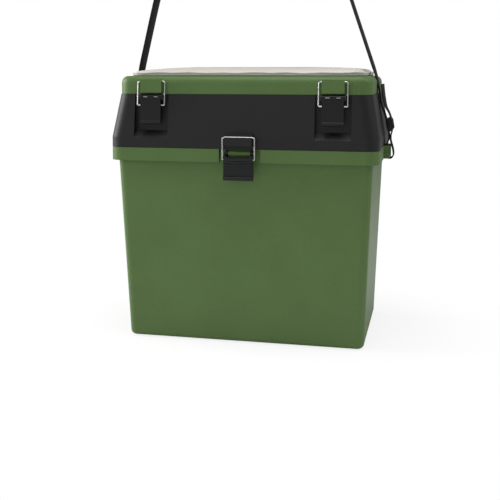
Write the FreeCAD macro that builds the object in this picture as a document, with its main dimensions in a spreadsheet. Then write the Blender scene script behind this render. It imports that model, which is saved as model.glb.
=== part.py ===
"""Fishing seat box: a tapered tub, a hinged top section with a two-trough tray, and a hinged seat lid.

Millimetres. X runs along the box, the front is -Y and Z is up. The origin is at the middle of the base.
A bare 1 or 0.5 added to a span is how far a cut, or a piece that is fused, runs past the face it meets.
"""

import FreeCAD, Part
import Sketcher

import math
import os
import re

# Each size that can be set by itself, with what it is
SIZES = {
    "rim_width": (385, "tub rim, along the box"),
    "rim_depth": (242, "tub rim, front to back"),
    "rim_height": (18.5, "height of the rim band"),
    "rim_radius": (19, "plan corner of the rim"),
    "rim_overhang": (8.5, "how far the rim stands out from the tub wall"),
    "rim_skirt": (3, "thickness of the hanging rim"),
    "tub_height": (279.5, "floor to top of rim"),
    "tub_wall": (3, "wall and floor of the tub"),
    "tub_draft": (12.3, "how far each side draws in at the base"),
    "tub_edge": (7, "rounding between wall and base"),
    "bead_height": (3.5, "locating bead on the rim"),
    "bead_width": (3, "thickness of the locating bead"),
    "panel_margin": (30, "floor panel, in from the inner wall"),
    "panel_depth": (1, "how far the floor panel is sunk"),
    "ring_radius": (42, "largest moulded ring in the floor"),
    "ring_step": (14, "from one floor ring to the next"),
    "ring_width": (2, "width of a floor ring"),
    "closing_gap": (0.3, "gap between parts that close on each other"),
    "fit": (0.3, "clearance of parts that lift or snap in"),
    "running_fit": (0.08, "radial clearance of a pin or axle"),
    "section_height": (75.5, "top section, joint to tray rim"),
    "band_height": (14, "upright band at the foot of the top section"),
    "taper_ends": (10.5, "how far each end of the top section draws in"),
    "taper_sides": (9, "how far its front and back draw in"),
    "section_radius": (20, "plan corner at the tray rim"),
    "section_wall": (3, "wall of the top section"),
    "tray_border": (17, "tray rim, edge to trough"),
    "tray_wall": (2.5, "wall of a trough"),
    "tray_lift": (7, "trough floor above the joint"),
    "spine_width": (12, "wall between the troughs"),
    "spine_drop": (6, "spine below the tray rim"),
    "slot_depth": (12, "slots in the spine"),
    "slot_width": (7, "width of a slot in the spine"),
    "slot_pitch": (22, "from one spine slot to the next"),
    "slot_count": (6, "slots in the right half of the spine"),
    "divider_thickness": (2, "thickness of a divider"),
    "divider_place": (90, "outer dividers, from the middle"),
    "guide_width": (1.5, "rib beside a divider"),
    "guide_reach": (2.5, "how far a divider rib stands out"),
    "peg_radius": (2, "pegs in the lid ends"),
    "peg_spread": (46, "pegs, from the middle"),
    "lid_height": (25.4, "seat lid without its cushion"),
    "lid_inset": (0.8, "lid edge, in from the tray rim"),
    "lid_wall": (3, "wall of the seat lid"),
    "lid_edge": (10, "rounding along the top of the lid"),
    "rib_width": (1.8, "ribs inside the lid"),
    "rib_rise": (6, "rib ends above the lid's lower edge"),
    "rib_pitch": (44, "from one lid rib to the next"),
    "boss_radius": (5.5, "round bosses between the compartments"),
    "cover_width": (143, "compartment cover, along the box"),
    "cover_depth": (74, "compartment cover, front to back"),
    "cover_thickness": (1.8, "sheet of a cover"),
    "cover_lift": (3.2, "cover above the lid's lower edge"),
    "cover_corner": (10, "cut corner at the snap side"),
    "cover_between": (14, "between left and right covers"),
    "cover_split": (8, "between front and rear covers"),
    "cover_rod": (1.5, "radius of a cover's hinge edge"),
    "cover_stub": (0.9, "radius of a cover's end stubs"),
    "cover_arm": (2.5, "thickness of the arms that hold a cover"),
    "cover_setback": (22, "end of a cover's hinge edge, in from the end of the cover"),
    "frame_margin": (7, "raised frame, in from the cover edge"),
    "frame_width": (2, "width of the raised frame"),
    "frame_rise": (1, "height of the raised frame"),
    "tab_width": (18, "snap tab of a cover"),
    "tab_reach": (3.5, "how far the snap tab stands out"),
    "cushion_margin": (12, "cushion edge, in from the lid edge"),
    "cushion_rise": (11.5, "crown of the cushion above the lid"),
    "cushion_draw": (1.2, "how far the foot and the top of the cushion's side draw in"),
    "cushion_radius": (22, "plan corner of the cushion"),
    "knuckle_radius": (5, "hinge knuckles"),
    "pin_radius": (2, "steel hinge pins"),
    "hinge_inset": (94, "middle of a hinge, in from the end of the rim"),
    "knuckle_inner": (29.6, "middle knuckle of a hinge"),
    "knuckle_outer": (26.4, "each outer knuckle"),
    "knuckle_setback": (6.2, "hinge axis behind the wall it serves"),
    "latch_inset": (63, "middle of an upper latch, in from the end of the rim"),
    "wire_radius": (1.1, "bail wire"),
    "wire_bend": (3, "bend in a bail"),
    "bail_root": (3, "how far each end of a bail goes into its lever"),
    "recess_width": (50, "pocket round an upper latch"),
    "recess_floor": (14, "pocket foot above the joint"),
    "recess_slope": (10.2, "rise of the sloping pocket foot to its back"),
    "recess_back": (3, "pocket back, in from the tray rim edge"),
    "pocket_wall": (3, "wall behind a pocket"),
    "lever_width": (30, "upper lever"),
    "lever_length": (34.5, "upper lever, axis to tip"),
    "lever_sheet": (4, "thickness of a lever"),
    "axis_drop": (4.3, "upper lever axis below the tray rim"),
    "axis_stand": (6, "upper lever axis off the pocket back"),
    "barrel_radius": (4.4, "round head of an upper lever"),
    "axle_radius": (1.7, "stub axles of a lever"),
    "dent_width": (6.4, "small slots beside the middle of an upper lever"),
    "dent_height": (3, "height of those slots"),
    "dent_depth": (1.6, "depth of those slots"),
    "dent_inset": (4.2, "those slots, in from the sides of the lever"),
    "ear_width": (2.6, "ears that carry an upper lever"),
    "pivot_drop": (11, "bail pivot below the upper lever axis"),
    "pivot_boss": (3, "radius round a bail pivot"),
    "bail_width": (39.5, "upper bail between its wire centres"),
    "bail_height": (33.5, "upper bail, pivot to bar"),
    "catch_width": (31, "upper catch"),
    "catch_drop": (16, "upper catch below its bar"),
    "catch_wall": (1.3, "catch wall behind the bar"),
    "lip_width": (3, "lip in front of the bar"),
    "lip_rise": (2.6, "lip above the middle of the bar"),
    "front_width": (42, "lever of the front latch"),
    "front_length": (34, "front lever, axis to tip"),
    "front_drop": (5.8, "front lever axis below the rim top"),
    "front_inset": (0.5, "front lever axis, in from the face of the rim"),
    "front_barrel": (3.7, "barrel that carries the front lever"),
    "front_arm": (5, "arms of the front lever"),
    "front_stand": (1, "front lever's sheet, out from its barrel"),
    "front_eye": (0.5, "how much its eyes are larger than its barrel"),
    "tip_roll": (0.8, "how much the rolled tip of a lever stands out from its sheet"),
    "front_pivot": (8, "bail pivot below the front lever axis"),
    "front_bail_width": (45.4, "front bail between its wire centres"),
    "front_bail_height": (30.9, "front bail, pivot to bar"),
    "front_catch_width": (38.5, "catch of the front latch"),
    "front_catch_drop": (12, "front catch below its bar"),
    "front_catch_rise": (4, "back of the front catch above the bar"),
    "notch_width": (59, "notch in the rim at the front latch"),
    "notch_depth": (5, "depth of that notch"),
    "web_height": (3, "web between barrel and rim"),
    "lug_gap": (32, "between the prongs of a strap lug"),
    "lug_prong": (6, "thickness of a prong"),
    "lug_reach": (8, "how far a prong stands out"),
    "bar_radius": (2.5, "bar between the prongs"),
    "bar_margin": (0.5, "bar, in from the end and the foot of its prongs"),
    "strap_width": (25, "strap webbing"),
    "strap_thickness": (1.6, "thickness of the webbing"),
    "slider_bar": (3, "bars of a strap slider"),
    "slider_rail": (3, "side rails of a strap slider"),
    "slider_height": (20, "strap slider, along the strap"),
    "slider_lift": (29.5, "middle of the slider above the joint"),
    "strap_stand": (6.5, "where the strap crosses itself, out from the rim"),
    "strap_cross": (9.7, "that crossing above the joint"),
    "loop_reach": (14, "outside of the strap loop, out from the rim"),
    "strap_above": (11.4, "strap over its slider, out from the tray rim"),
    "strap_hug": (4.6, "strap beside the black section, out from the tray rim"),
    "tail_length": (50, "loose tail above its slider"),
}

doc = FreeCAD.newDocument("SeatBox")
sheet = doc.addObject("Spreadsheet::Sheet", "Sizes")
for row, (alias, (number, note)) in enumerate(SIZES.items(), start=1):
    sheet.set(f"A{row}", note)
    sheet.set(f"B{row}", str(number))
    sheet.setAlias(f"B{row}", alias)
doc.recompute()

# Levels and faces that several pieces share, as expressions of the sizes
JOINT = "(tub_height + closing_gap)"
TRAY_RIM = "(tub_height + closing_gap + section_height)"
LID_FOOT = f"({TRAY_RIM} + closing_gap)"
LID_TOP = f"({LID_FOOT} + lid_height)"
FRONT = "(-rim_depth / 2)"
REAR = "(rim_depth / 2)"
TOP_WIDTH = "(rim_width - 2 * taper_ends)"
TOP_DEPTH = "(rim_depth - 2 * taper_sides)"
LID_WIDTH = f"({TOP_WIDTH} - 2 * lid_inset)"
LID_DEPTH = f"({TOP_DEPTH} - 2 * lid_inset)"
LID_RADIUS = "(section_radius - lid_inset)"
BODY_WIDTH = "(rim_width - 2 * rim_overhang)"
BODY_DEPTH = "(rim_depth - 2 * rim_overhang)"
BODY_RADIUS = "(rim_radius - rim_overhang)"
TRAY_END = f"({TOP_WIDTH} / 2 - tray_border)"
TRAY_SIDE = f"({TOP_DEPTH} / 2 - tray_border)"
TRAY_FLOOR = f"({JOINT} + tray_lift)"
SPINE_TOP = f"({TRAY_RIM} - spine_drop)"
HINGES = ("-(rim_width / 2 - hinge_inset)", "(rim_width / 2 - hinge_inset)")
LATCHES = ("-(rim_width / 2 - latch_inset)", "(rim_width / 2 - latch_inset)")


def bound(text):
    """An expression of size names, as the document reads it."""
    return re.sub(r"[a-z_]{3,}", lambda word: "Sizes." + word[0] if word[0] in SIZES else word[0], text)


def value(text):
    """The number that an expression of size names gives."""
    known = {alias: float(sheet.get(alias)) for alias in SIZES}
    return FreeCAD.Units.parseQuantity(
        re.sub(r"[a-z_]{3,}", lambda word: f"({known[word[0]]})", str(text))
    ).Value


def box(name, x, y, z):
    """A block between pairs of expressions."""
    piece = doc.addObject("Part::Box", name)
    for side, axis, (low, high) in (("Length", "x", x), ("Width", "y", y), ("Height", "z", z)):
        piece.setExpression(side, bound(f"({high}) - ({low})"))
        piece.setExpression(f"Placement.Base.{axis}", bound(f"{low}"))
    return piece


def rod(name, radius, x, y, z):
    """A round bar along X, between a pair of expressions."""
    piece = doc.addObject("Part::Cylinder", name)
    piece.Placement = FreeCAD.Placement(FreeCAD.Vector(), FreeCAD.Rotation(FreeCAD.Vector(0, 1, 0), 90))
    piece.setExpression("Radius", bound(radius))
    piece.setExpression("Height", bound(f"({x[1]}) - ({x[0]})"))
    for axis, place in (("x", x[0]), ("y", y), ("z", z)):
        piece.setExpression(f"Placement.Base.{axis}", bound(f"{place}"))
    return piece


def post(name, radius, x, y, z):
    """An upright round bar."""
    piece = doc.addObject("Part::Cylinder", name)
    piece.setExpression("Radius", bound(radius))
    piece.setExpression("Height", bound(f"({z[1]}) - ({z[0]})"))
    for axis, place in (("x", x), ("y", y), ("z", z[0])):
        piece.setExpression(f"Placement.Base.{axis}", bound(f"{place}"))
    return piece


def fuse(name, *pieces):
    """Several pieces joined into one."""
    joined = doc.addObject("Part::MultiFuse", name)
    joined.Shapes = list(pieces)
    return joined


def shared(name, *pieces):
    """What several pieces have in common."""
    piece = doc.addObject("Part::MultiCommon", name)
    piece.Shapes = list(pieces)
    return piece


def cut(name, base, *tools):
    """A piece with others taken out of it."""
    piece = doc.addObject("Part::Cut", name)
    piece.Base = base
    piece.Tool = tools[0] if len(tools) == 1 else fuse(name + "Tools", *tools)
    return piece


def outline(name, width, depth, radius, level):
    """A rounded rectangle round the Z axis, as a constrained sketch."""
    sketch = doc.addObject("Sketcher::SketchObject", name)
    half_x, half_y, corner = value(width) / 2, value(depth) / 2, value(radius)
    in_x, in_y = half_x - corner, half_y - corner
    ends = (
        ((-in_x, -half_y), (in_x, -half_y)),
        ((half_x, -in_y), (half_x, in_y)),
        ((in_x, half_y), (-in_x, half_y)),
        ((-half_x, in_y), (-half_x, -in_y)),
    )
    for start, end in ends:
        sketch.addGeometry(Part.LineSegment(FreeCAD.Vector(*start, 0), FreeCAD.Vector(*end, 0)), False)
    middles = ((in_x, -in_y), (in_x, in_y), (-in_x, in_y), (-in_x, -in_y))
    for turn, middle in enumerate(middles):
        circle = Part.Circle(FreeCAD.Vector(*middle, 0), FreeCAD.Vector(0, 0, 1), corner)
        start = math.radians(90 * (turn - 1))
        sketch.addGeometry(Part.ArcOfCircle(circle, start, start + math.pi / 2), False)
    Constraint = Sketcher.Constraint
    for side in range(4):
        sketch.addConstraint(Constraint("Tangent", side, 2, side + 4, 1))
        sketch.addConstraint(Constraint("Tangent", side + 4, 2, (side + 1) % 4, 1))
    for side in (0, 2):
        sketch.addConstraint(Constraint("Horizontal", side))
        sketch.addConstraint(Constraint("Vertical", side + 1))
    for arc in (5, 6, 7):
        sketch.addConstraint(Constraint("Equal", 4, arc))
    sizes = (
        (Constraint("Radius", 4, corner), radius),
        (Constraint("DistanceX", -1, 1, 1, 1, half_x), f"({width}) / 2"),
        (Constraint("DistanceX", 3, 1, -1, 1, half_x), f"({width}) / 2"),
        (Constraint("DistanceY", -1, 1, 2, 1, half_y), f"({depth}) / 2"),
        (Constraint("DistanceY", 0, 1, -1, 1, half_y), f"({depth}) / 2"),
    )
    for constraint, text in sizes:
        number = sketch.addConstraint(constraint)
        sketch.setExpression(f"Constraints[{number}]", bound(text))
    sketch.setExpression("Placement.Base.z", bound(level))
    return sketch


def loft(name, *sections):
    """A solid through rounded rectangles, each given by width, depth, corner and level."""
    piece = doc.addObject("Part::Loft", name)
    piece.Sections = [outline(f"{name}Outline{n}", *section) for n, section in enumerate(sections)]
    piece.Solid = True
    piece.Ruled = True
    return piece


def fillet(name, base, radius, choose):
    """A piece with the chosen edges rounded."""
    doc.recompute()
    piece = doc.addObject("Part::Fillet", name)
    piece.Base = base
    amount = value(radius)
    piece.Edges = [(n, amount, amount) for n, edge in enumerate(base.Shape.Edges, 1) if choose(edge)]
    return piece


def finish(piece, label):
    """Gives a finished sub-part the name of its node."""
    piece.Label = label
    sub_parts.append(piece)
    return piece


def smooth_path(points, radii):
    """A wire of straight runs joined by tangent arcs, one radius for each inner point."""
    edges, start = [], points[0]
    for before, corner, after, radius in zip(points, points[1:], points[2:], radii):
        back, ahead = (before - corner).normalize(), (after - corner).normalize()
        half = back.getAngle(ahead) / 2
        reach = radius / math.tan(half)
        middle = corner + (back + ahead).normalize() * (radius / math.sin(half) - radius)
        first, last = corner + back * reach, corner + ahead * reach
        if (first - start).Length > 1e-6:
            edges.append(Part.LineSegment(start, first).toShape())
        edges.append(Part.Arc(first, middle, last).toShape())
        start = last
    edges.append(Part.LineSegment(start, points[-1]).toShape())
    return Part.Wire(edges)


def shape_feature(name, shape):
    """A document object for a shape that no primitive or sketch makes."""
    piece = doc.addObject("Part::Feature", name)
    piece.Shape = shape
    piece.Placement = FreeCAD.Placement()
    return piece


sub_parts = []


def hinge_spans(part_name):
    """The X ranges of one half's knuckles, for both hinges."""
    inner = "knuckle_inner / 2"
    outer = "knuckle_inner / 2 + closing_gap"
    reach = "knuckle_inner / 2 + closing_gap + knuckle_outer"
    spans = []
    for middle in HINGES:
        if part_name == "middle":
            spans.append((f"{middle} - {inner}", f"{middle} + {inner}"))
        else:
            spans.append((f"{middle} - ({reach})", f"{middle} - ({outer})"))
            spans.append((f"{middle} + {outer}", f"{middle} + {reach}"))
    return spans


def knuckles(name, which, axis_y, axis_z, root_y, web):
    """Knuckles with webs to the wall, as a list of pieces. web holds the web's low and high level."""
    pieces = []
    for n, span in enumerate(hinge_spans(which)):
        pieces.append(rod(f"{name}Knuckle{n}", "knuckle_radius", span, axis_y, axis_z))
        pieces.append(box(f"{name}Web{n}", span, (root_y, axis_y), web))
    return pieces


def pin_bore(name, axis_y, axis_z):
    """The pin holes of both hinges of one axis."""
    reach = "(knuckle_inner / 2 + knuckle_outer + 2)"
    return [
        rod(f"{name}Bore{n}", "pin_radius + running_fit",
            (f"{middle} - {reach}", f"{middle} + {reach}"), axis_y, axis_z)
        for n, middle in enumerate(HINGES)
    ]


def hinge_pins(label, axis_y, axis_z):
    """The two steel pins of one hinge axis, in one node."""
    reach = "(knuckle_inner / 2 + knuckle_outer)"
    pins = [
        rod(f"{label}Pin{n}", "pin_radius",
            (f"{middle} - {reach}", f"{middle} + {reach}"), axis_y, axis_z)
        for n, middle in enumerate(HINGES)
    ]
    group = doc.addObject("Part::Compound", label + "Pair")
    group.Links = pins
    return finish(group, label)


# The hinge axes: rear of the rim at the joint, and rear of the tray rim under the lid
TUB_AXIS = (f"{REAR} + knuckle_setback", JOINT)
LID_AXIS = (f"{TOP_DEPTH} / 2 + knuckle_setback", LID_FOOT)

# Front latch: the axis is a barrel on the rim, the bar hooks over a catch on the top section
FRONT_AXIS_Y = f"({FRONT} + front_inset)"
FRONT_AXIS_Z = "(tub_height - front_drop)"
FRONT_PIVOT_Y = f"({FRONT_AXIS_Y} - front_barrel - front_stand - lever_sheet / 2)"
FRONT_PIVOT_Z = f"({FRONT_AXIS_Z} - front_pivot)"
FRONT_BAR_Z = f"({FRONT_PIVOT_Z} + front_bail_height)"

# Upper latches: the lever axis stands in a pocket, the bar hooks behind a lip on the lid
POCKET_BACK = f"(-{TOP_DEPTH} / 2 + recess_back)"
AXIS_Y = f"({POCKET_BACK} - axis_stand)"
AXIS_Z = f"({TRAY_RIM} - axis_drop)"
PIVOT_Y = f"({AXIS_Y} - barrel_radius / 2)"
PIVOT_Z = f"({AXIS_Z} - pivot_drop)"
LID_FACE = f"(-{LID_DEPTH} / 2)"
BAR_Y = f"({LID_FACE} - catch_wall - closing_gap - wire_radius)"
BAR_Z = f"({PIVOT_Z} + bail_height)"


def tub():
    """The green tub: drafted walls, hanging rim, locating bead, floor rings, lugs, barrel and knuckles."""
    rim_foot = "(tub_height - rim_height)"
    foot_width, foot_depth = f"({BODY_WIDTH} - 2 * tub_draft)", f"({BODY_DEPTH} - 2 * tub_draft)"
    body = loft(
        "TubBody",
        (foot_width, foot_depth, BODY_RADIUS, "0"),
        (BODY_WIDTH, BODY_DEPTH, BODY_RADIUS, "tub_height"),
    )
    rounded = fillet("TubRounded", body, "tub_edge", lambda edge: edge.BoundBox.ZMax < 0.01)
    rim = loft(
        "TubRim",
        ("rim_width", "rim_depth", "rim_radius", rim_foot),
        ("rim_width", "rim_depth", "rim_radius", "tub_height"),
    )
    under_rim = ("rim_width - 2 * rim_skirt", "rim_depth - 2 * rim_skirt", "rim_radius - rim_skirt")
    under = loft(
        "RimUnder",
        (*under_rim, f"{rim_foot} - 1"),
        (*under_rim, "tub_height - rim_skirt"),
    )
    behind_latch = box(
        "LatchPad", ("-notch_width / 2 - rim_skirt", "notch_width / 2 + rim_skirt"),
        (FRONT, f"{FRONT} + rim_overhang + tub_wall / 2"), (rim_foot, "tub_height"),
    )
    behind_lugs = [
        box(f"LugPad{side}", (f"{sign} * (rim_width / 2 - rim_overhang / 2) - rim_overhang / 2",
                              f"{sign} * (rim_width / 2 - rim_overhang / 2) + rim_overhang / 2"),
            ("-lug_gap / 2 - lug_prong", "lug_gap / 2 + lug_prong"), (rim_foot, "tub_height"))
        for side, sign in (("Left", "-1"), ("Right", "1"))
    ]
    bead = loft(
        "TubBead",
        (BODY_WIDTH, BODY_DEPTH, BODY_RADIUS, "tub_height - 1"),
        (BODY_WIDTH, BODY_DEPTH, BODY_RADIUS, "tub_height + bead_height"),
    )
    outside = fuse("TubOutside", rounded, cut("RimShell", rim, under), behind_latch, *behind_lugs, bead,
                   *knuckles("Tub", "outer", *TUB_AXIS, f"{REAR} - rim_skirt",
                             (f"{JOINT} - knuckle_radius", f"{JOINT} - closing_gap")),
                   *lugs())
    slope = "(tub_draft / tub_height)"
    inside = loft(
        "TubInside",
        (f"{foot_width} - 2 * tub_wall * (1 - {slope})", f"{foot_depth} - 2 * tub_wall * (1 - {slope})",
         f"{BODY_RADIUS} - tub_wall", "tub_wall"),
        (f"{BODY_WIDTH} - 2 * bead_width", f"{BODY_DEPTH} - 2 * bead_width",
         f"{BODY_RADIUS} - bead_width", "tub_height + bead_height + 1"),
    )
    floor = value("tub_wall")
    rounded_inside = fillet(
        "TubHollow", inside, "tub_edge - tub_wall", lambda edge: edge.BoundBox.ZMax < floor + 0.01
    )
    panel_plan = (f"{foot_width} - 2 * panel_margin", f"{foot_depth} - 2 * panel_margin", "tub_edge")
    panel = loft("FloorPanel", (*panel_plan, "tub_wall - panel_depth"), (*panel_plan, "tub_wall + 1"))
    rings = []
    for n in range(3):
        radius = f"(ring_radius - {n} * ring_step)"
        level = ("tub_wall - panel_depth - 0.5", "tub_wall")
        outer_post = post(f"RingOuter{n}", radius, "0", "0", level)
        inner_post = post(f"RingInner{n}", f"{radius} - ring_width", "0", "0", level)
        rings.append(cut(f"Ring{n}", outer_post, inner_post))
    notch = box("RimNotch", ("-notch_width / 2", "notch_width / 2"),
                (f"{FRONT} - 1", f"{FRONT} + notch_depth"), (f"{rim_foot} - 1", "tub_height + 1"))
    shell = cut("TubShell", outside, rounded_inside, panel, notch, *pin_bore("Tub", *TUB_AXIS))
    half = "(front_width / 2 - front_arm - closing_gap)"
    barrel = rod("LatchBarrel", "front_barrel", (f"-{half}", half), FRONT_AXIS_Y, FRONT_AXIS_Z)
    web = box("BarrelWeb", (f"-{half}", half), (FRONT_AXIS_Y, f"{FRONT} + notch_depth + tub_wall / 2"),
              (f"{FRONT_AXIS_Z} - web_height / 2", f"{FRONT_AXIS_Z} + web_height / 2"))
    bore = rod("BarrelBore", "axle_radius + running_fit", (f"-{half} - 1", f"{half} + 1"),
               FRONT_AXIS_Y, FRONT_AXIS_Z)
    return finish(cut("TubPiece", fuse("TubWhole", shell, *rings, barrel, web), bore), "tub")


# The front and rear limits of the two troughs
TROUGHS = {
    "Front": (f"-{TRAY_SIDE}", "-spine_width / 2"),
    "Rear": ("spine_width / 2", TRAY_SIDE),
}

# Where the dividers stand, left to right: three in the rear trough and two in the front one
DIVIDERS = (
    ("-divider_place", "Rear"),
    ("0", "Rear"),
    ("divider_place", "Rear"),
    ("-divider_place", "Front"),
    ("0", "Front"),
)

# The bar of a strap lug, at the outer lower corner of its prongs
LUG_BAR_X = "(rim_width / 2 + lug_reach - bar_radius - bar_margin)"
LUG_BAR_Z = "(tub_height - rim_height + bar_radius + bar_margin)"


def lugs():
    """Two prongs with a round bar on each end of the rim, which hold the strap."""
    pieces = []
    for side, sign in (("Left", "-1"), ("Right", "1")):
        low, high = ("-rim_width / 2 - lug_reach", "-rim_width / 2 + 1") if sign == "-1" else (
            "rim_width / 2 - 1", "rim_width / 2 + lug_reach")
        for end, place in (("Front", "-lug_gap / 2 - lug_prong"), ("Back", "lug_gap / 2")):
            pieces.append(box(f"Prong{side}{end}", (low, high), (place, f"{place} + lug_prong"),
                              ("tub_height - rim_height", "tub_height")))
        bar = doc.addObject("Part::Cylinder", f"LugBar{side}")
        bar.Placement = FreeCAD.Placement(FreeCAD.Vector(), FreeCAD.Rotation(FreeCAD.Vector(1, 0, 0), -90))
        bar.setExpression("Radius", bound("bar_radius"))
        bar.setExpression("Height", bound("lug_gap + 2"))
        bar.setExpression("Placement.Base.x", bound(f"{sign} * ({LUG_BAR_X})"))
        bar.setExpression("Placement.Base.y", bound("-lug_gap / 2 - 1"))
        bar.setExpression("Placement.Base.z", bound(LUG_BAR_Z))
        pieces.append(bar)
    return pieces


def pocket(name, middle, grow, top):
    """The room of a latch pocket: a block over a wedge that slopes up to the back.

    grow adds a wall round it.
    """
    span = (f"{middle} - recess_width / 2 - {grow}", f"{middle} + recess_width / 2 + {grow}")
    back = f"{POCKET_BACK} + {grow}"
    low = f"{JOINT} + recess_floor - {grow}"
    high = f"{low} + recess_slope"
    slope = doc.addObject("Part::Wedge", name + "Slope")
    limits = {
        "Xmin": span[0], "X2min": span[0], "Xmax": span[1], "X2max": span[1],
        "Ymin": FRONT, "Ymax": back, "Zmin": low, "Zmax": high, "Z2min": high, "Z2max": high,
    }
    for side, text in limits.items():
        slope.setExpression(side, bound(text))
    return [box(name + "Room", span, (f"{FRONT} - 1", back), (high, top)), slope]


def top_section():
    """The black top section: a drafted shell with two troughs hanging from its rim."""
    outer = loft(
        "SectionOuter",
        ("rim_width", "rim_depth", "rim_radius", JOINT),
        ("rim_width", "rim_depth", "rim_radius", f"{JOINT} + band_height"),
        (TOP_WIDTH, TOP_DEPTH, "section_radius", TRAY_RIM),
    )
    less = "2 * section_wall"
    foot_plan = (f"rim_width - {less}", f"rim_depth - {less}", "rim_radius - section_wall")
    head_plan = (f"{TOP_WIDTH} - {less}", f"{TOP_DEPTH} - {less}", "section_radius - section_wall")
    cavity = loft(
        "SectionCavity",
        (*foot_plan, f"{JOINT} - 1"),
        (*foot_plan, f"{JOINT} + band_height"),
        (*head_plan, f"{TRAY_RIM} - section_wall"),
    )
    length = (f"-{TRAY_END}", TRAY_END)
    kept = [box("SpineCap", length, ("-spine_width / 2", "spine_width / 2"),
                (f"{SPINE_TOP} - slot_depth - tray_wall", SPINE_TOP))]
    troughs = [box("SpineRelief", length, ("-spine_width / 2 - 1", "spine_width / 2 + 1"),
                   (SPINE_TOP, f"{TRAY_RIM} + 1"))]
    for row, (near, far) in TROUGHS.items():
        kept.append(box(f"{row}TroughOuter", (f"-{TRAY_END} - tray_wall", f"{TRAY_END} + tray_wall"),
                        (f"{near} - tray_wall", f"{far} + tray_wall"),
                        (f"{TRAY_FLOOR} - tray_wall", TRAY_RIM)))
        troughs.append(box(f"{row}Trough", length, (near, far), (TRAY_FLOOR, f"{TRAY_RIM} + 1")))
    pockets = []
    ears = []
    bores = []
    for side, middle in zip(("Left", "Right"), LATCHES):
        kept += pocket(f"{side}PocketWall", middle, "pocket_wall", TRAY_RIM)
        pockets += pocket(f"{side}Pocket", middle, "0", f"{TRAY_RIM} + 1")
        for end, start in (("Left", f"{middle} - lever_width / 2 - closing_gap - ear_width"),
                           ("Right", f"{middle} + lever_width / 2 + closing_gap")):
            span = (start, f"{start} + ear_width")
            ears.append(rod(f"{side}Ear{end}", "barrel_radius", span, AXIS_Y, AXIS_Z))
            ears.append(box(f"{side}EarWeb{end}", span, (AXIS_Y, f"{POCKET_BACK} + pocket_wall / 2"),
                            (f"{AXIS_Z} - barrel_radius", f"{AXIS_Z} + barrel_radius")))
            bores.append(rod(f"{side}EarBore{end}", "axle_radius + running_fit",
                             (f"{span[0]} - 0.1", f"{span[1]} + 0.1"), AXIS_Y, AXIS_Z))
    for n in range(int(value("slot_count"))):
        place = f"(slot_pitch * ({n} + 1) - slot_pitch / 2)"
        troughs.append(box(f"SpineSlot{n}", (f"{place} - slot_width / 2", f"{place} + slot_width / 2"),
                           ("-spine_width / 2 - 1", "spine_width / 2 + 1"),
                           (f"{SPINE_TOP} - slot_depth", f"{SPINE_TOP} + 1")))
    for n, sign in enumerate(("-1", "1")):
        for m, side in enumerate(("-peg_spread", "peg_spread")):
            troughs.append(post(f"PegHole{n}{m}", "peg_radius + fit",
                                f"{sign} * ({TRAY_END} + tray_border / 2)", side,
                                (f"{TRAY_RIM} - section_wall / 2", f"{TRAY_RIM} + 1")))
    hollow = cut("SectionHollow", cavity, *kept)
    shell = cut("SectionShell", outer, hollow, *troughs, *pockets)
    guides = []
    beside = ("- divider_thickness / 2 - fit - guide_width", "+ divider_thickness / 2 + fit")
    for n, (place, row) in enumerate(DIVIDERS):
        near, far = TROUGHS[row]
        for m, offset in enumerate(beside):
            start = f"{place} {offset}"
            for k, wall in enumerate(((near, f"{near} + guide_reach"), (f"{far} - guide_reach", far))):
                guides.append(box(f"Guide{n}{m}{k}", (start, f"{start} + guide_width"), wall,
                                  (f"{TRAY_FLOOR} - 0.5", f"{SPINE_TOP} - slot_depth - tray_wall")))
    bar_y = FRONT_PIVOT_Y
    half = "front_catch_width / 2"
    catch_foot, catch_out = f"{FRONT_BAR_Z} - front_catch_drop", f"{bar_y} - wire_radius - closing_gap - 1"
    catch = cut(
        "FrontCatch",
        box("CatchBlock", (f"-{half}", half), (catch_out, f"{FRONT} + section_wall / 2"),
            (catch_foot, f"{FRONT_BAR_Z} + front_catch_rise")),
        box("CatchSeat", (f"-{half} - 1", f"{half} + 1"),
            (f"{bar_y} - wire_radius - closing_gap", f"{bar_y} + wire_radius + closing_gap"),
            (f"{FRONT_BAR_Z} - wire_radius - closing_gap", f"{FRONT_BAR_Z} + front_catch_rise + 1")),
        box("CatchFace", (f"-{half} - 1", f"{half} + 1"), (f"{catch_out} - 1", f"{bar_y}"),
            (FRONT_BAR_Z, f"{FRONT_BAR_Z} + front_catch_rise + 1")),
    )
    joined = fuse("SectionWhole", shell, *ears, *guides, catch,
                  *knuckles("SectionLow", "middle", *TUB_AXIS, f"{REAR} - section_wall / 2",
                            (JOINT, f"{JOINT} + knuckle_radius")),
                  *knuckles("SectionHigh", "outer", *LID_AXIS, f"{TOP_DEPTH} / 2 - section_wall / 2",
                            (f"{TRAY_RIM} - knuckle_radius", TRAY_RIM)))
    bores += pin_bore("SectionLow", *TUB_AXIS) + pin_bore("SectionHigh", *LID_AXIS)
    return finish(cut("SectionPiece", joined, *bores), "top_section")




def dividers():
    """Lift-out divider plates with a finger dip in the top edge."""
    for n, (place, row) in enumerate(DIVIDERS, start=1):
        near, far = TROUGHS[row]
        plate = box(f"Plate{n}", (f"{place} - divider_thickness / 2", f"{place} + divider_thickness / 2"),
                    (f"{near} + fit", f"{far} - fit"), (TRAY_FLOOR, SPINE_TOP))
        dip = rod(f"Dip{n}", "slot_depth", (f"{place} - divider_thickness", f"{place} + divider_thickness"),
                  f"({near} + ({far})) / 2", f"{SPINE_TOP} + slot_depth / 2")
        finish(cut(f"Divider{n}", plate, dip), f"tray_divider_{n}")


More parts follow.
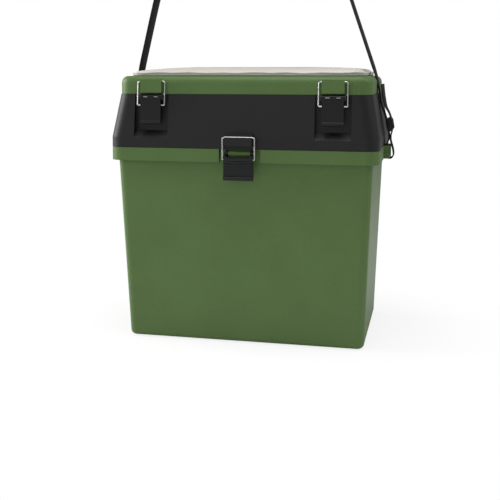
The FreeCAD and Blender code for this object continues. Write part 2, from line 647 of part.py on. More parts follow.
# Each cover: its node name, the sign of its X place and of its Y place
COVERS = [("front_left_cover", "-1", "-1"), ("front_right_cover", "1", "-1"),
          ("rear_left_cover", "-1", "1"), ("rear_right_cover", "1", "1")]
COVER_Z = f"({LID_FOOT} + cover_lift + cover_thickness / 2)"
COVER_X = "((cover_between + cover_width) / 2)"
COVER_AXIS_Y = "(cover_split / 2 + cover_rod)"
COVER_FAR_Y = "(cover_split / 2 + cover_depth)"
ROD_HALF = "(cover_width / 2 - cover_setback)"


def arm_starts(middle):
    """Where the two arms of a cover start along X."""
    return f"{middle} - {ROD_HALF} - fit - cover_arm", f"{middle} + {ROD_HALF} + fit"


def y_span(sign, near, far):
    """A Y range given for the rear, or its mirror at the front."""
    return (near, far) if sign == "1" else (f"-({far})", f"-({near})")


def seat_lid():
    """The green lid: a shell with ribs, four compartments, bosses, pegs, catches and knuckles."""
    blank = loft(
        "LidBlank",
        (LID_WIDTH, LID_DEPTH, LID_RADIUS, LID_FOOT),
        (LID_WIDTH, LID_DEPTH, LID_RADIUS, LID_TOP),
    )
    top = value(LID_TOP)
    rounded = fillet("LidRounded", blank, "lid_edge", lambda edge: edge.BoundBox.ZMin > top - 0.01)
    ceiling = f"({LID_TOP} - lid_wall)"
    inside_plan = (f"{LID_WIDTH} - 2 * lid_wall", f"{LID_DEPTH} - 2 * lid_wall", f"{LID_RADIUS} - lid_wall")
    inside = loft("LidInside", (*inside_plan, f"{LID_FOOT} - 1"), (*inside_plan, ceiling))
    under = value(ceiling)
    hollow = fillet(
        "LidHollow", inside, "lid_edge - lid_wall", lambda edge: edge.BoundBox.ZMin > under - 0.01
    )
    shell = cut("LidShell", rounded, hollow)
    rib_z = (f"{COVER_Z} + cover_rod + fit", f"{ceiling} + 0.5")
    low_rib = (f"{LID_FOOT} + rib_rise", f"{ceiling} + 0.5")
    inner_x, inner_y = f"({LID_WIDTH} / 2 - lid_wall)", f"({LID_DEPTH} / 2 - lid_wall)"
    far_x = f"({COVER_X} + cover_width / 2)"
    pieces, ribs = [shell], []
    for n, (name, sign_x, sign_y) in enumerate(COVERS):
        middle = f"{sign_x} * {COVER_X}"
        half = "cover_width / 2"
        outer = box(f"CellOuter{n}", (f"{middle} - {half}", f"{middle} + {half}"),
                    y_span(sign_y, "cover_split / 2", COVER_FAR_Y), rib_z)
        inner = box(f"CellInner{n}", (f"{middle} - {half} + rib_width", f"{middle} + {half} - rib_width"),
                    y_span(sign_y, "cover_split / 2 + rib_width", f"{COVER_FAR_Y} - rib_width"),
                    (f"{rib_z[0]} - 1", f"{rib_z[1]} + 1"))
        pieces.append(cut(f"Cell{n}", outer, inner))
        for m, start in enumerate(arm_starts(middle)):
            axis_y = y_span(sign_y, COVER_AXIS_Y, COVER_AXIS_Y)[0]
            leg_y = y_span(sign_y, "cover_split / 2", f"{COVER_AXIS_Y} + cover_rod")
            arm = fuse(
                f"Arm{n}{m}",
                box(f"ArmLeg{n}{m}", (start, f"{start} + cover_arm"), leg_y, (COVER_Z, f"{rib_z[0]} + 1")),
                rod(f"ArmEnd{n}{m}", "cover_rod", (start, f"{start} + cover_arm"), axis_y, COVER_Z),
            )
            eye = rod(f"Eye{n}{m}", "cover_stub + running_fit",
                      (f"{start} - 1", f"{start} + cover_arm + 1"), axis_y, COVER_Z)
            pieces.append(cut(f"CoverArm{n}{m}", arm, eye))
    count = int(value(f"({LID_WIDTH} / 2 - {LID_RADIUS}) / rib_pitch"))
    for n in range(-count, count + 1):
        across = (f"{n} * rib_pitch - rib_width / 2", f"{n} * rib_pitch + rib_width / 2")
        for m, sign in enumerate(("-1", "1")):
            ribs.append(box(f"SideRib{n + count}{m}", across,
                            y_span(sign, f"{COVER_FAR_Y} - rib_width / 2", f"{inner_y} + 0.5"), low_rib))
    for n, sign in enumerate(("-1", "1")):
        low, high = f"{far_x} - rib_width / 2", f"{inner_x} + 0.5"
        span = (low, high) if sign == "1" else (f"-({high})", f"-({low})")
        for m in (-1, 0, 1):
            across = (f"{m} * rib_pitch - rib_width / 2", f"{m} * rib_pitch + rib_width / 2")
            ribs.append(box(f"EndRib{n}{m + 1}", span, across, low_rib))
        for m, place in enumerate(("-peg_spread", "peg_spread")):
            pieces.append(post(f"Peg{n}{m}", "peg_radius", f"{sign} * ({TRAY_END} + tray_border / 2)",
                               place, (LID_FOOT, f"{ceiling} + 0.5")))
    pieces.append(shared("LidRibs", fuse("RibBlanks", *ribs), rounded))
    for n, sign in enumerate(("-1", "1")):
        pieces.append(post(f"Boss{n}", "boss_radius", "0", f"{sign} * (cover_split + cover_depth) / 2",
                           (rib_z[0], f"{ceiling} + 0.5")))
    for side, middle in zip(("Left", "Right"), LATCHES):
        half = "catch_width / 2"
        out = f"({BAR_Y} - wire_radius - closing_gap - lip_width)"
        block = box(f"{side}Catch", (f"{middle} - {half}", f"{middle} + {half}"),
                    (out, f"{LID_FACE} + lid_wall * 0.8"), (f"{BAR_Z} - catch_drop", f"{BAR_Z} + lip_rise"))
        seat = box(f"{side}CatchSeat", (f"{middle} - {half} - 1", f"{middle} + {half} + 1"),
                   (f"{BAR_Y} - wire_radius - closing_gap", f"{BAR_Y} + wire_radius + closing_gap"),
                   (f"{BAR_Z} - wire_radius - closing_gap", f"{BAR_Z} + lip_rise + 1"))
        pieces.append(cut(f"{side}CatchPiece", block, seat))
    pieces += knuckles("Lid", "middle", *LID_AXIS, f"{LID_DEPTH} / 2 - lid_wall / 2",
                       (LID_FOOT, f"{LID_FOOT} + knuckle_radius"))
    whole = fuse("LidWhole", *pieces)
    return finish(cut("LidPiece", whole, *pin_bore("Lid", *LID_AXIS)), "seat_lid")


def covers():
    """Clear covers, each with a hinge edge, a raised frame, cut corners and a snap tab."""
    for n, (label, sign_x, sign_y) in enumerate(COVERS):
        middle = f"{sign_x} * {COVER_X}"
        half = "cover_width / 2"
        span = (f"{middle} - {half}", f"{middle} + {half}")
        level = (f"{COVER_Z} - cover_thickness / 2", f"{COVER_Z} + cover_thickness / 2")
        plate = box(f"CoverPlate{n}", span, y_span(sign_y, COVER_AXIS_Y, COVER_FAR_Y), level)
        doc.recompute()
        corners = doc.addObject("Part::Chamfer", f"CoverCorners{n}")
        corners.Base = plate
        amount = value("cover_corner")
        edge_y = value(COVER_FAR_Y)
        corners.Edges = [
            (k, amount, amount) for k, edge in enumerate(plate.Shape.Edges, 1)
            if edge.BoundBox.XLength < 0.01 and edge.BoundBox.YLength < 0.01
            and abs(abs(edge.BoundBox.YMin) - edge_y) < 0.01
        ]
        gaps = [
            box(f"ArmGap{n}{m}", (f"{start} - fit", f"{start} + cover_arm + fit"),
                y_span(sign_y, COVER_AXIS_Y + " - 1", f"{COVER_AXIS_Y} + cover_rod + fit"),
                (f"{level[0]} - 1", f"{level[1]} + 1"))
            for m, start in enumerate(arm_starts(middle))
        ]
        axis_y = y_span(sign_y, COVER_AXIS_Y, COVER_AXIS_Y)[0]
        edge = rod(f"CoverEdge{n}", "cover_rod", (f"{middle} - {ROD_HALF}", f"{middle} + {ROD_HALF}"),
                   axis_y, COVER_Z)
        stub_half = f"({ROD_HALF} + fit + cover_arm)"
        stub = rod(f"CoverStub{n}", "cover_stub", (f"{middle} - {stub_half}", f"{middle} + {stub_half}"),
                   axis_y, COVER_Z)
        outer, inner = "frame_margin", "(frame_margin + frame_width)"
        under = (f"{level[0]} - frame_rise", f"{COVER_Z}")
        ring = cut(
            f"CoverFrame{n}",
            box(f"FrameOuter{n}", (f"{span[0]} + {outer}", f"{span[1]} - {outer}"),
                y_span(sign_y, f"{COVER_AXIS_Y} + {outer}", f"{COVER_FAR_Y} - {outer}"), under),
            box(f"FrameInner{n}", (f"{span[0]} + {inner}", f"{span[1]} - {inner}"),
                y_span(sign_y, f"{COVER_AXIS_Y} + {inner}", f"{COVER_FAR_Y} - {inner}"),
                (f"{under[0]} - 1", f"{under[1]} + 1")),
        )
        tab = box(f"CoverTab{n}", (f"{middle} - tab_width / 2", f"{middle} + tab_width / 2"),
                  y_span(sign_y, f"{COVER_FAR_Y} - 1", f"{COVER_FAR_Y} + tab_reach"),
                  (f"{level[0]} - frame_rise", level[1]))
        plate_cut = cut(f"CoverCut{n}", corners, *gaps)
        finish(fuse(f"Cover{n}", plate_cut, edge, stub, ring, tab), label)


def cushion():
    """The thin seat pad: its foot and top draw in, and its crown rises to the middle."""
    wide, deep = f"({LID_WIDTH} - 2 * cushion_margin)", f"({LID_DEPTH} - 2 * cushion_margin)"
    # Each line of the crown: share of the rise, how far it draws in, and share of the plan corner
    # Each level: its share of the crown's height, how far it is drawn in, and its share of the plan corner
    crown = (
        ("0", "cushion_draw", "1"),
        ("0.12", "0", "1"),
        ("0.32", "0", "1"),
        ("0.44", "cushion_draw", "1"),
        ("0.66", f"cushion_draw + {deep} * 0.09", "0.9"),
        ("0.86", f"cushion_draw + {deep} * 0.22", "0.8"),
        ("1", f"cushion_draw + {deep} * 0.38", "0.5"),
    )
    sections = [
        (f"{wide} - 2 * ({less})", f"{deep} - 2 * ({less})", f"cushion_radius * {share}",
         f"{LID_TOP} + cushion_rise * {rise}")
        for rise, less, share in crown
    ]
    return finish(loft("CushionForm", *sections), "seat_cushion")


def upper_lever(label, middle):
    """A lever with a round head, stub axles, bail pivot and a finger lip at its tip."""
    half = "lever_width / 2"
    span = (f"{middle} - {half}", f"{middle} + {half}")
    sheet_y = (f"{PIVOT_Y} - lever_sheet * 0.75", f"{PIVOT_Y} + lever_sheet * 0.25")
    tip = f"{AXIS_Z} - lever_length"
    reach = f"({half} + closing_gap + ear_width)"
    body = fuse(
        label + "Whole",
        rod(label + "Head", "barrel_radius", span, AXIS_Y, AXIS_Z),
        rod(label + "Axle", "axle_radius", (f"{middle} - {reach}", f"{middle} + {reach}"), AXIS_Y, AXIS_Z),
        box(label + "Sheet", span, sheet_y, (tip, f"{AXIS_Z} + barrel_radius / 2")),
        rod(label + "Boss", "pivot_boss", span, PIVOT_Y, PIVOT_Z),
        rod(label + "Lip", "lever_sheet / 2 + 0.6", span, f"{PIVOT_Y} - lever_sheet / 2", tip),
    )
    bore = rod(label + "Bore", "wire_radius + running_fit", (f"{span[0]} - 1", f"{span[1]} + 1"),
               PIVOT_Y, PIVOT_Z)
    dents = [
        box(f"{label}Dent{n}", (start, f"{start} + dent_width"),
            (f"{sheet_y[0]} - 1", f"{sheet_y[0]} + dent_depth"),
            (f"{AXIS_Z} - dent_height / 2", f"{AXIS_Z} + dent_height / 2"))
        for n, start in enumerate((f"{span[0]} + dent_inset", f"{span[1]} - dent_inset - dent_width"))
    ]
    return finish(cut(label + "Piece", body, bore, *dents), label)


def front_lever(label):
    """The front lever: a plate with two arms that reach up to the barrel on the rim."""
    half = "front_width / 2"
    span = (f"-{half}", half)
    sheet_y = (f"{FRONT_PIVOT_Y} - lever_sheet / 2", f"{FRONT_PIVOT_Y} + lever_sheet / 2")
    tip = f"{FRONT_AXIS_Z} - front_length"
    under_barrel = f"{FRONT_AXIS_Z} - front_barrel - front_stand"
    pieces = [
        box(label + "Sheet", span, sheet_y, (tip, under_barrel)),
        rod(label + "Lip", "lever_sheet / 2 + tip_roll", span, f"{FRONT_PIVOT_Y} - lever_sheet * 0.55", tip),
        rod(label + "Boss", "pivot_boss", span, FRONT_PIVOT_Y, FRONT_PIVOT_Z),
    ]
    arms = {"Left": (f"-{half}", f"-{half} + front_arm"), "Right": (f"{half} - front_arm", half)}
    for side, arm in arms.items():
        pieces.append(rod(f"{label}{side}Eye", "front_barrel + front_eye", arm, FRONT_AXIS_Y, FRONT_AXIS_Z))
        pieces.append(box(f"{label}{side}Arm", arm, (sheet_y[0], FRONT_AXIS_Y),
                          (f"{under_barrel} - front_stand", f"{FRONT_AXIS_Z} - front_barrel * 0.68")))
    stub = "(front_width / 2 - front_arm - closing_gap - front_arm)"
    for side, axle in (("Left", (f"-{half} + 1", f"-{stub}")), ("Right", (stub, f"{half} - 1"))):
        pieces.append(rod(f"{label}{side}Axle", "axle_radius", axle, FRONT_AXIS_Y, FRONT_AXIS_Z))
    bore = rod(label + "Bore", "wire_radius + running_fit", (f"{span[0]} - 1", f"{span[1]} + 1"),
               FRONT_PIVOT_Y, FRONT_PIVOT_Z)
    return finish(cut(label + "Piece", fuse(label + "Whole", *pieces), bore), label)


def bail(label, middle, width, inner, pivot, bar):
    """A wire bail: two ends in the lever, two legs and the bar across the catch."""
    centre, half, end = value(middle), value(width) / 2, value(inner) / 2
    low_y, low_z, high_y, high_z = (value(text) for text in (*pivot, *bar))
    corners = [
        FreeCAD.Vector(centre + x, y, z)
        for x, y, z in ((-end, low_y, low_z), (-half, low_y, low_z), (-half, high_y, high_z),
                        (half, high_y, high_z), (half, low_y, low_z), (end, low_y, low_z))
    ]
    bend = value("wire_bend")
    path = smooth_path(corners, [value("wire_radius") * 1.3, bend, bend, value("wire_radius") * 1.3])
    ring = Part.Wire(Part.makeCircle(value("wire_radius"), corners[0], FreeCAD.Vector(1, 0, 0)))
    wire = path.makePipeShell([ring], True, False)
    full = math.pi * value("wire_radius") ** 2 * path.Length
    print(label, "volume share", round(wire.Volume / full, 4))
    return finish(shape_feature(label + "Wire", wire), label)


# The arch as it is held in the photograph: X before its sign, Z and bend radius of its shoulders and top
ARCH_RIGHT = (122, 553, 60)
ARCH_LEFT = (142, 560, 60)
ARCH_TOP = (-10, 603, 170)


def slider_gap():
    """The distance between the two layers of webbing in a slider."""
    return value("(bar_radius + closing_gap) * 2 + strap_thickness")


# How far the straight run goes above the middle of the slider, where the strap starts to lie flat above
# that run, and how much of it both layers share, as shares of the slider's height
RUN_END = 0.75
FLAT_START = 0.7
SHARED_RUN = 1.05


def slider_run():
    """The straight run that a slider sits on: its lower and its upper point, as X and Z."""
    low = (value("rim_width / 2 + strap_stand"), value(f"{JOINT} + strap_cross"))
    high = (value(f"{TOP_WIDTH} / 2 + strap_above"), value(f"{JOINT} + slider_lift + slider_height * {RUN_END}"))
    return low, high


def strap_line(sign):
    """The strap on one side, from its tail tip up to the arch, as X before its sign, Z and bend radius."""
    thick, gap = value("strap_thickness"), value("closing_gap")
    wall, joint, rim_end = value("rim_width / 2"), value(JOINT), value(f"{TOP_WIDTH} / 2")
    bar_x, bar_z = value(LUG_BAR_X), value(LUG_BAR_Z)
    round_bar = value("bar_radius") + gap + thick / 2
    low, high = slider_run()
    side = slider_gap() / math.cos(math.atan2(low[0] - high[0], high[1] - low[1]))
    share = 1 - value("slider_height") * SHARED_RUN / (high[1] - low[1])
    hug = (rim_end + value("strap_hug"), high[1] + value("slider_height") * FLAT_START)
    line = [
        (rim_end + value("strap_hug") + thick * 1.1, hug[1] + value("tail_length") * 0.62, 0),
        (hug[0] + thick * 2.6, hug[1] + thick, 25),
        (high[0] + side, high[1], 12),
        (low[0] + (high[0] - low[0]) * share + side, low[1] + (high[1] - low[1]) * share, 6),
        (low[0] + thick + gap, low[1], 4),
        (wall + value("loop_reach") - thick / 2, bar_z + round_bar * 2, 8),
        (wall + value("loop_reach") - thick, bar_z - round_bar, round_bar),
        (bar_x - round_bar, bar_z - round_bar, round_bar),
        (bar_x - round_bar, joint, 8),
        (*low, 6),
        (*high, 14),
        (*hug, 30),
    ]
    lid_end = value(f"{LID_WIDTH} / 2") + gap + thick / 2
    if sign > 0:
        return line + [(lid_end + 0.5, value(f"{LID_TOP} - lid_edge"), 30), ARCH_RIGHT]
    return line + [(lid_end + 5, value(LID_TOP), 60), ARCH_LEFT]


def strap():
    """The webbing: doubled and looped at each lug, taut past the lid ends, and arched over the box."""
    left = [(-x, z, radius) for x, z, radius in reversed(strap_line(-1))]
    whole = strap_line(1) + [ARCH_TOP] + left
    points = [FreeCAD.Vector(x, 0, z) for x, z, radius in whole]
    radii = [radius for x, z, radius in whole[1:-1]]
    path = smooth_path(points, radii)
    start = points[0]
    along = (points[1] - start).normalize()
    across = FreeCAD.Vector(along.z, 0, -along.x) * (value("strap_thickness") / 2)
    side = FreeCAD.Vector(0, value("strap_width") / 2, 0)
    corners = [start + across + side, start - across + side, start - across - side, start + across - side]
    section = Part.makePolygon(corners + corners[:1])
    band = path.makePipeShell([section], True, False)
    area = value("strap_thickness * strap_width")
    print("strap length", round(path.Length, 1))
    print("volume share", round(band.Volume / (area * path.Length), 4))
    return finish(shape_feature("StrapBand", band), "strap_webbing")


def slider(label, sign):
    """A three-bar slider that holds the doubled webbing above a lug."""
    thick, wide = value("strap_thickness"), value("strap_width")
    bar, rail, tall = value("slider_bar"), value("slider_rail"), value("slider_height")
    gap = value("closing_gap")
    apart = slider_gap()
    inner = apart - thick - 2 * gap
    side_y = wide / 2 + gap
    out = apart + thick / 2 + gap
    bars = [(thick / 2 + gap, inner, -bar / 2), (out, thick, -tall / 2), (out, thick, tall / 2 - bar)]
    pieces = []
    for start, deep, level in bars:
        corner = FreeCAD.Vector(start if sign > 0 else -start - deep, -side_y, level)
        pieces.append(Part.makeBox(deep, 2 * side_y, bar, corner))
    deep = out + thick - gap
    for y in (-side_y - rail, side_y):
        corner = FreeCAD.Vector(gap if sign > 0 else -gap - deep, y, -tall / 2)
        pieces.append(Part.makeBox(deep, rail, tall, corner))
    shape = pieces[0].multiFuse(pieces[1:]).removeSplitter()
    low, high = slider_run()
    lean = math.degrees(math.atan2(low[0] - high[0], high[1] - low[1]))
    middle = value(f"{JOINT} + slider_lift")
    share = (middle - low[1]) / (high[1] - low[1])
    place = FreeCAD.Vector(sign * (low[0] + (high[0] - low[0]) * share), 0, middle)
    piece = shape_feature(label + "Frame", shape)
    piece.Placement = FreeCAD.Placement(place, FreeCAD.Rotation(FreeCAD.Vector(0, 1, 0), -lean * sign))
    return finish(piece, label)


def check_and_write():
    """Stops on any failed object, and writes each sub-part."""
    doc.recompute()
    for thing in doc.Objects:
        if "Invalid" in thing.State or "Error" in thing.State:
            raise RuntimeError(f"{thing.Name} failed: {thing.State}")
    os.makedirs("parts", exist_ok=True)
    for piece in sub_parts:
        shape = piece.Shape
        if shape.isNull() or not shape.isValid() or not shape.Solids:
            raise RuntimeError(f"{piece.Label} has no valid solid")
        shape.exportStep(os.path.join("parts", piece.Label + ".step"))
        print(piece.Label, len(shape.Solids), "solid", round(shape.Volume), "mm3")


tub()
top_section()
dividers()
seat_lid()
covers()
cushion()
hinge_pins("tub_hinge_pins", *TUB_AXIS)
hinge_pins("lid_hinge_pins", *LID_AXIS)
for side, middle in zip(("left", "right"), LATCHES):
    upper_lever(f"{side}_latch_lever", middle)
    bail(f"{side}_latch_bail", middle, "bail_width", "(lever_width - 2 * bail_root)",
         (PIVOT_Y, PIVOT_Z), (BAR_Y, BAR_Z))
front_lever("front_latch_lever")
bail("front_latch_bail", "0", "front_bail_width", "(front_width - 2 * bail_root)",
     (FRONT_PIVOT_Y, FRONT_PIVOT_Z), (FRONT_PIVOT_Y, FRONT_BAR_Z))
strap()
slider("right_strap_slider", 1)
slider("left_strap_slider", -1)
check_and_write()
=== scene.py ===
"""Looks of a fishing seat box: green tub and lid, black top section, steel bails, pad and strap."""

import logging
import math
from dataclasses import dataclass, field
from enum import Enum

import bmesh
import bpy
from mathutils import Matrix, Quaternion, Vector


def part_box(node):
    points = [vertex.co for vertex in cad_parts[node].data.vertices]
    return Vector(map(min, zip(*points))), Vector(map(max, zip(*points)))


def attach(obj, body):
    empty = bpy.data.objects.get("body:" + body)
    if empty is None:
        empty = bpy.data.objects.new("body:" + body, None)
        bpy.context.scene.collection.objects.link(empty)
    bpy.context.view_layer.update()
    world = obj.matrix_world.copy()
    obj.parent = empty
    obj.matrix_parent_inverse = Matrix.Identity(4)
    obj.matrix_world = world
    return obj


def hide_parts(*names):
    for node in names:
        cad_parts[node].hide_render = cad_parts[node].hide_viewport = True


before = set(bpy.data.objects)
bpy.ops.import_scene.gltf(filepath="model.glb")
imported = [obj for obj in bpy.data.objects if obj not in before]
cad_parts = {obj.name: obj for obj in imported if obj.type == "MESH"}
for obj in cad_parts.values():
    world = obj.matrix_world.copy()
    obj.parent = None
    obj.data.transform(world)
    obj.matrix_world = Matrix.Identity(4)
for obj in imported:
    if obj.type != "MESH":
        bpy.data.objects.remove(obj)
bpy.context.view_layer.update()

logging.basicConfig(level=logging.INFO, format="%(levelname)s %(message)s")
log = logging.getLogger("seat_box")

MM = 0.001
Point = tuple[float, float, float]
WHITE = "#ffffff"
# Edges flatter than this are shaded smooth
SMOOTH_ANGLE = math.radians(40)
# Width of a light and a dark stripe together, of the wave texture at scale 1, in metres
WAVE_REPEAT = 0.314


class Side(Enum):
    """The end of the box that a piece belongs to."""

    LEFT = "left"
    RIGHT = "right"


def linear(colour: str) -> tuple[float, float, float, float]:
    """Turns an sRGB hex colour into a linear one.

    Args:
        colour: six hex digits after a hash sign.

    Returns:
        Linear red, green, blue and an alpha of 1.
    """
    parts = [int(colour[i:i + 2], 16) / 255 for i in (1, 3, 5)]
    return (*[c / 12.92 if c <= 0.04045 else ((c + 0.055) / 1.055) ** 2.4 for c in parts], 1.0)


def add_node(tree: bpy.types.NodeTree, kind: str, settings: dict | None = None,
             links: dict | None = None) -> bpy.types.Node:
    """Adds one node with its settings and links.

    Args:
        tree: the node tree it goes into.
        kind: the node's type name.
        settings: attribute names, or input names and numbers, with their values.
        links: input names or numbers, with the output socket that feeds each.

    Returns:
        The new node.
    """
    node = tree.nodes.new(kind)
    for name, value in (settings or {}).items():
        if isinstance(name, int) or name in node.inputs:
            node.inputs[name].default_value = value
        else:
            setattr(node, name, value)
    for name, socket in (links or {}).items():
        tree.links.new(socket, node.inputs[name])
    return node


def new_material(name: str) -> tuple[bpy.types.Material, bpy.types.NodeTree, bpy.types.Node]:
    """Starts a node material.

    Args:
        name: the real material's name.

    Returns:
        The material, its tree and its shader.
    """
    material = bpy.data.materials.new(name)
    material.use_nodes = True
    return material, material.node_tree, material.node_tree.nodes["Principled BSDF"]


def two_tone(tree: bpy.types.NodeTree, factor: bpy.types.NodeSocket, dark: str, light: str,
             low: float = 0.3, high: float = 0.7) -> bpy.types.Node:
    """Mixes two colours by a pattern.

    Args:
        tree: the node tree.
        factor: the pattern.
        dark: colour where the pattern is low.
        light: colour where it is high.
        low: pattern value that gives the dark colour.
        high: pattern value that gives the light colour.

    Returns:
        The colour ramp node.
    """
    ramp = add_node(tree, "ShaderNodeValToRGB", links={0: factor})
    first, last = ramp.color_ramp.elements
    first.position, first.color = low, linear(dark)
    last.position, last.color = high, linear(light)
    return ramp


@dataclass(frozen=True)
class MouldedPlastic:
    """Injection-moulded plastic: fine spark-eroded grain, soft sheen and a faint flow mottle."""

    name: str
    dark: str
    light: str
    roughness: float = 0.42
    # How much smoother and rougher the mottle makes it
    smoother: float = 0.05
    rougher: float = 0.07
    mottle_mm: float = 60.0
    fleck_mm: float = 2.2
    # Pattern values that give the dark and the light colour
    dark_at: float = 0.38
    light_at: float = 0.62
    grain_mm: float = 0.9
    grain_depth_mm: float = 0.04
    grain_strength: float = 0.25
    ior: float = 1.49
    specular: float = 0.3

    def build(self) -> bpy.types.Material:
        """Makes the material.

        Returns:
            The material.
        """
        material, tree, shader = new_material(self.name)
        place = add_node(tree, "ShaderNodeTexCoord").outputs["Object"]
        mottle = add_node(tree, "ShaderNodeTexNoise",
                          {"Scale": 1 / (self.mottle_mm * MM), "Detail": 3.0}, {"Vector": place})
        fleck = add_node(tree, "ShaderNodeTexNoise",
                         {"Scale": 1 / (self.fleck_mm * MM), "Detail": 2.0}, {"Vector": place})
        both = add_node(tree, "ShaderNodeMath", {"operation": "ADD"},
                        {0: mottle.outputs["Fac"], 1: fleck.outputs["Fac"]})
        half = add_node(tree, "ShaderNodeMath", {"operation": "MULTIPLY", 1: 0.5},
                        {0: both.outputs[0]})
        ramp = two_tone(tree, half.outputs[0], self.dark, self.light, self.dark_at, self.light_at)
        grain = add_node(tree, "ShaderNodeTexVoronoi", {"Scale": 1 / (self.grain_mm * MM)},
                         {"Vector": place})
        bump = add_node(tree, "ShaderNodeBump",
                        {"Strength": self.grain_strength, "Distance": self.grain_depth_mm * MM},
                        {"Height": grain.outputs["Distance"]})
        rough = add_node(tree, "ShaderNodeMapRange",
                         {"To Min": self.roughness - self.smoother,
                          "To Max": self.roughness + self.rougher},
                         {"Value": mottle.outputs["Fac"]})
        tree.links.new(ramp.outputs["Color"], shader.inputs["Base Color"])
        tree.links.new(rough.outputs["Result"], shader.inputs["Roughness"])
        tree.links.new(bump.outputs["Normal"], shader.inputs["Normal"])
        shader.inputs["IOR"].default_value = self.ior
        shader.inputs["Specular IOR Level"].default_value = self.specular
        return material


@dataclass(frozen=True)
class ClearPlastic:
    """Natural polypropylene sheet: milky, lets light through and shines."""

    name: str = "natural polypropylene"
    dark: str = "#c0c6c9"
    light: str = "#c9ced0"
    cloud_mm: float = 70.0
    # Roughness from the smoothest to the roughest place
    smooth: float = 0.22
    rough: float = 0.34
    ior: float = 1.49
    transmission: float = 0.45

    def build(self) -> bpy.types.Material:
        """Makes the material.

        Returns:
            The material.
        """
        material, tree, shader = new_material(self.name)
        place = add_node(tree, "ShaderNodeTexCoord").outputs["Object"]
        cloud = add_node(tree, "ShaderNodeTexNoise",
                         {"Scale": 1 / (self.cloud_mm * MM), "Detail": 2.0}, {"Vector": place})
        ramp = two_tone(tree, cloud.outputs["Fac"], self.dark, self.light)
        rough = add_node(tree, "ShaderNodeMapRange", {"To Min": self.smooth, "To Max": self.rough},
                         {"Value": cloud.outputs["Fac"]})
        tree.links.new(ramp.outputs["Color"], shader.inputs["Base Color"])
        tree.links.new(rough.outputs["Result"], shader.inputs["Roughness"])
        shader.inputs["IOR"].default_value = self.ior
        shader.inputs["Transmission Weight"].default_value = self.transmission
        return material


@dataclass(frozen=True)
class PlatedSteel:
    """Bright zinc-plated wire: a metal with fine drawing lines and a slight cloudiness."""

    name: str = "zinc-plated steel"
    dark: str = "#b9b9b5"
    light: str = "#cfcec8"
    cloud_mm: float = 6.0
    # Roughness from the smoothest to the roughest place
    smooth: float = 0.26
    rough: float = 0.34

    def build(self) -> bpy.types.Material:
        """Makes the material.

        Returns:
            The material.
        """
        material, tree, shader = new_material(self.name)
        place = add_node(tree, "ShaderNodeTexCoord").outputs["Object"]
        cloud = add_node(tree, "ShaderNodeTexNoise",
                         {"Scale": 1 / (self.cloud_mm * MM), "Detail": 2.0}, {"Vector": place})
        ramp = two_tone(tree, cloud.outputs["Fac"], self.dark, self.light)
        rough = add_node(tree, "ShaderNodeMapRange", {"To Min": self.smooth, "To Max": self.rough},
                         {"Value": cloud.outputs["Fac"]})
        tree.links.new(ramp.outputs["Color"], shader.inputs["Base Color"])
        tree.links.new(rough.outputs["Result"], shader.inputs["Roughness"])
        shader.inputs["Metallic"].default_value = 1.0
        return material


@dataclass(frozen=True)
class PadVinyl:
    """Coated pad cloth: thin vinyl with a leather-like grain, fine creases and a clear gloss."""

    name: str = "padded vinyl cloth"
    dark: str = "#bdb8b0"
    light: str = "#c8c4bc"
    cloud_mm: float = 90.0
    grain_mm: float = 1.6
    grain_depth_mm: float = 0.06
    grain_strength: float = 0.3
    crease_mm: float = 14.0
    crease_depth_mm: float = 0.8
    crease_strength: float = 0.35
    # Roughness from the smoothest to the roughest place
    smooth: float = 0.34
    rough: float = 0.5
    ior: float = 1.52

    def build(self) -> bpy.types.Material:
        """Makes the material.

        Returns:
            The material.
        """
        material, tree, shader = new_material(self.name)
        place = add_node(tree, "ShaderNodeTexCoord").outputs["Object"]
        cloud = add_node(tree, "ShaderNodeTexNoise",
                         {"Scale": 1 / (self.cloud_mm * MM), "Detail": 2.0}, {"Vector": place})
        ramp = two_tone(tree, cloud.outputs["Fac"], self.dark, self.light)
        grain = add_node(tree, "ShaderNodeTexVoronoi",
                         {"Scale": 1 / (self.grain_mm * MM), "feature": "DISTANCE_TO_EDGE"},
                         {"Vector": place})
        crease = add_node(tree, "ShaderNodeTexNoise",
                          {"Scale": 1 / (self.crease_mm * MM), "Detail": 5.0, "Distortion": 1.2},
                          {"Vector": place})
        fine = add_node(tree, "ShaderNodeBump",
                        {"Strength": self.grain_strength, "Distance": self.grain_depth_mm * MM},
                        {"Height": grain.outputs["Distance"]})
        wide = add_node(tree, "ShaderNodeBump",
                        {"Strength": self.crease_strength, "Distance": self.crease_depth_mm * MM},
                        {"Height": crease.outputs["Fac"], "Normal": fine.outputs["Normal"]})
        rough = add_node(tree, "ShaderNodeMapRange", {"To Min": self.smooth, "To Max": self.rough},
                         {"Value": crease.outputs["Fac"]})
        tree.links.new(ramp.outputs["Color"], shader.inputs["Base Color"])
        tree.links.new(rough.outputs["Result"], shader.inputs["Roughness"])
        tree.links.new(wide.outputs["Normal"], shader.inputs["Normal"])
        shader.inputs["IOR"].default_value = self.ior
        return material


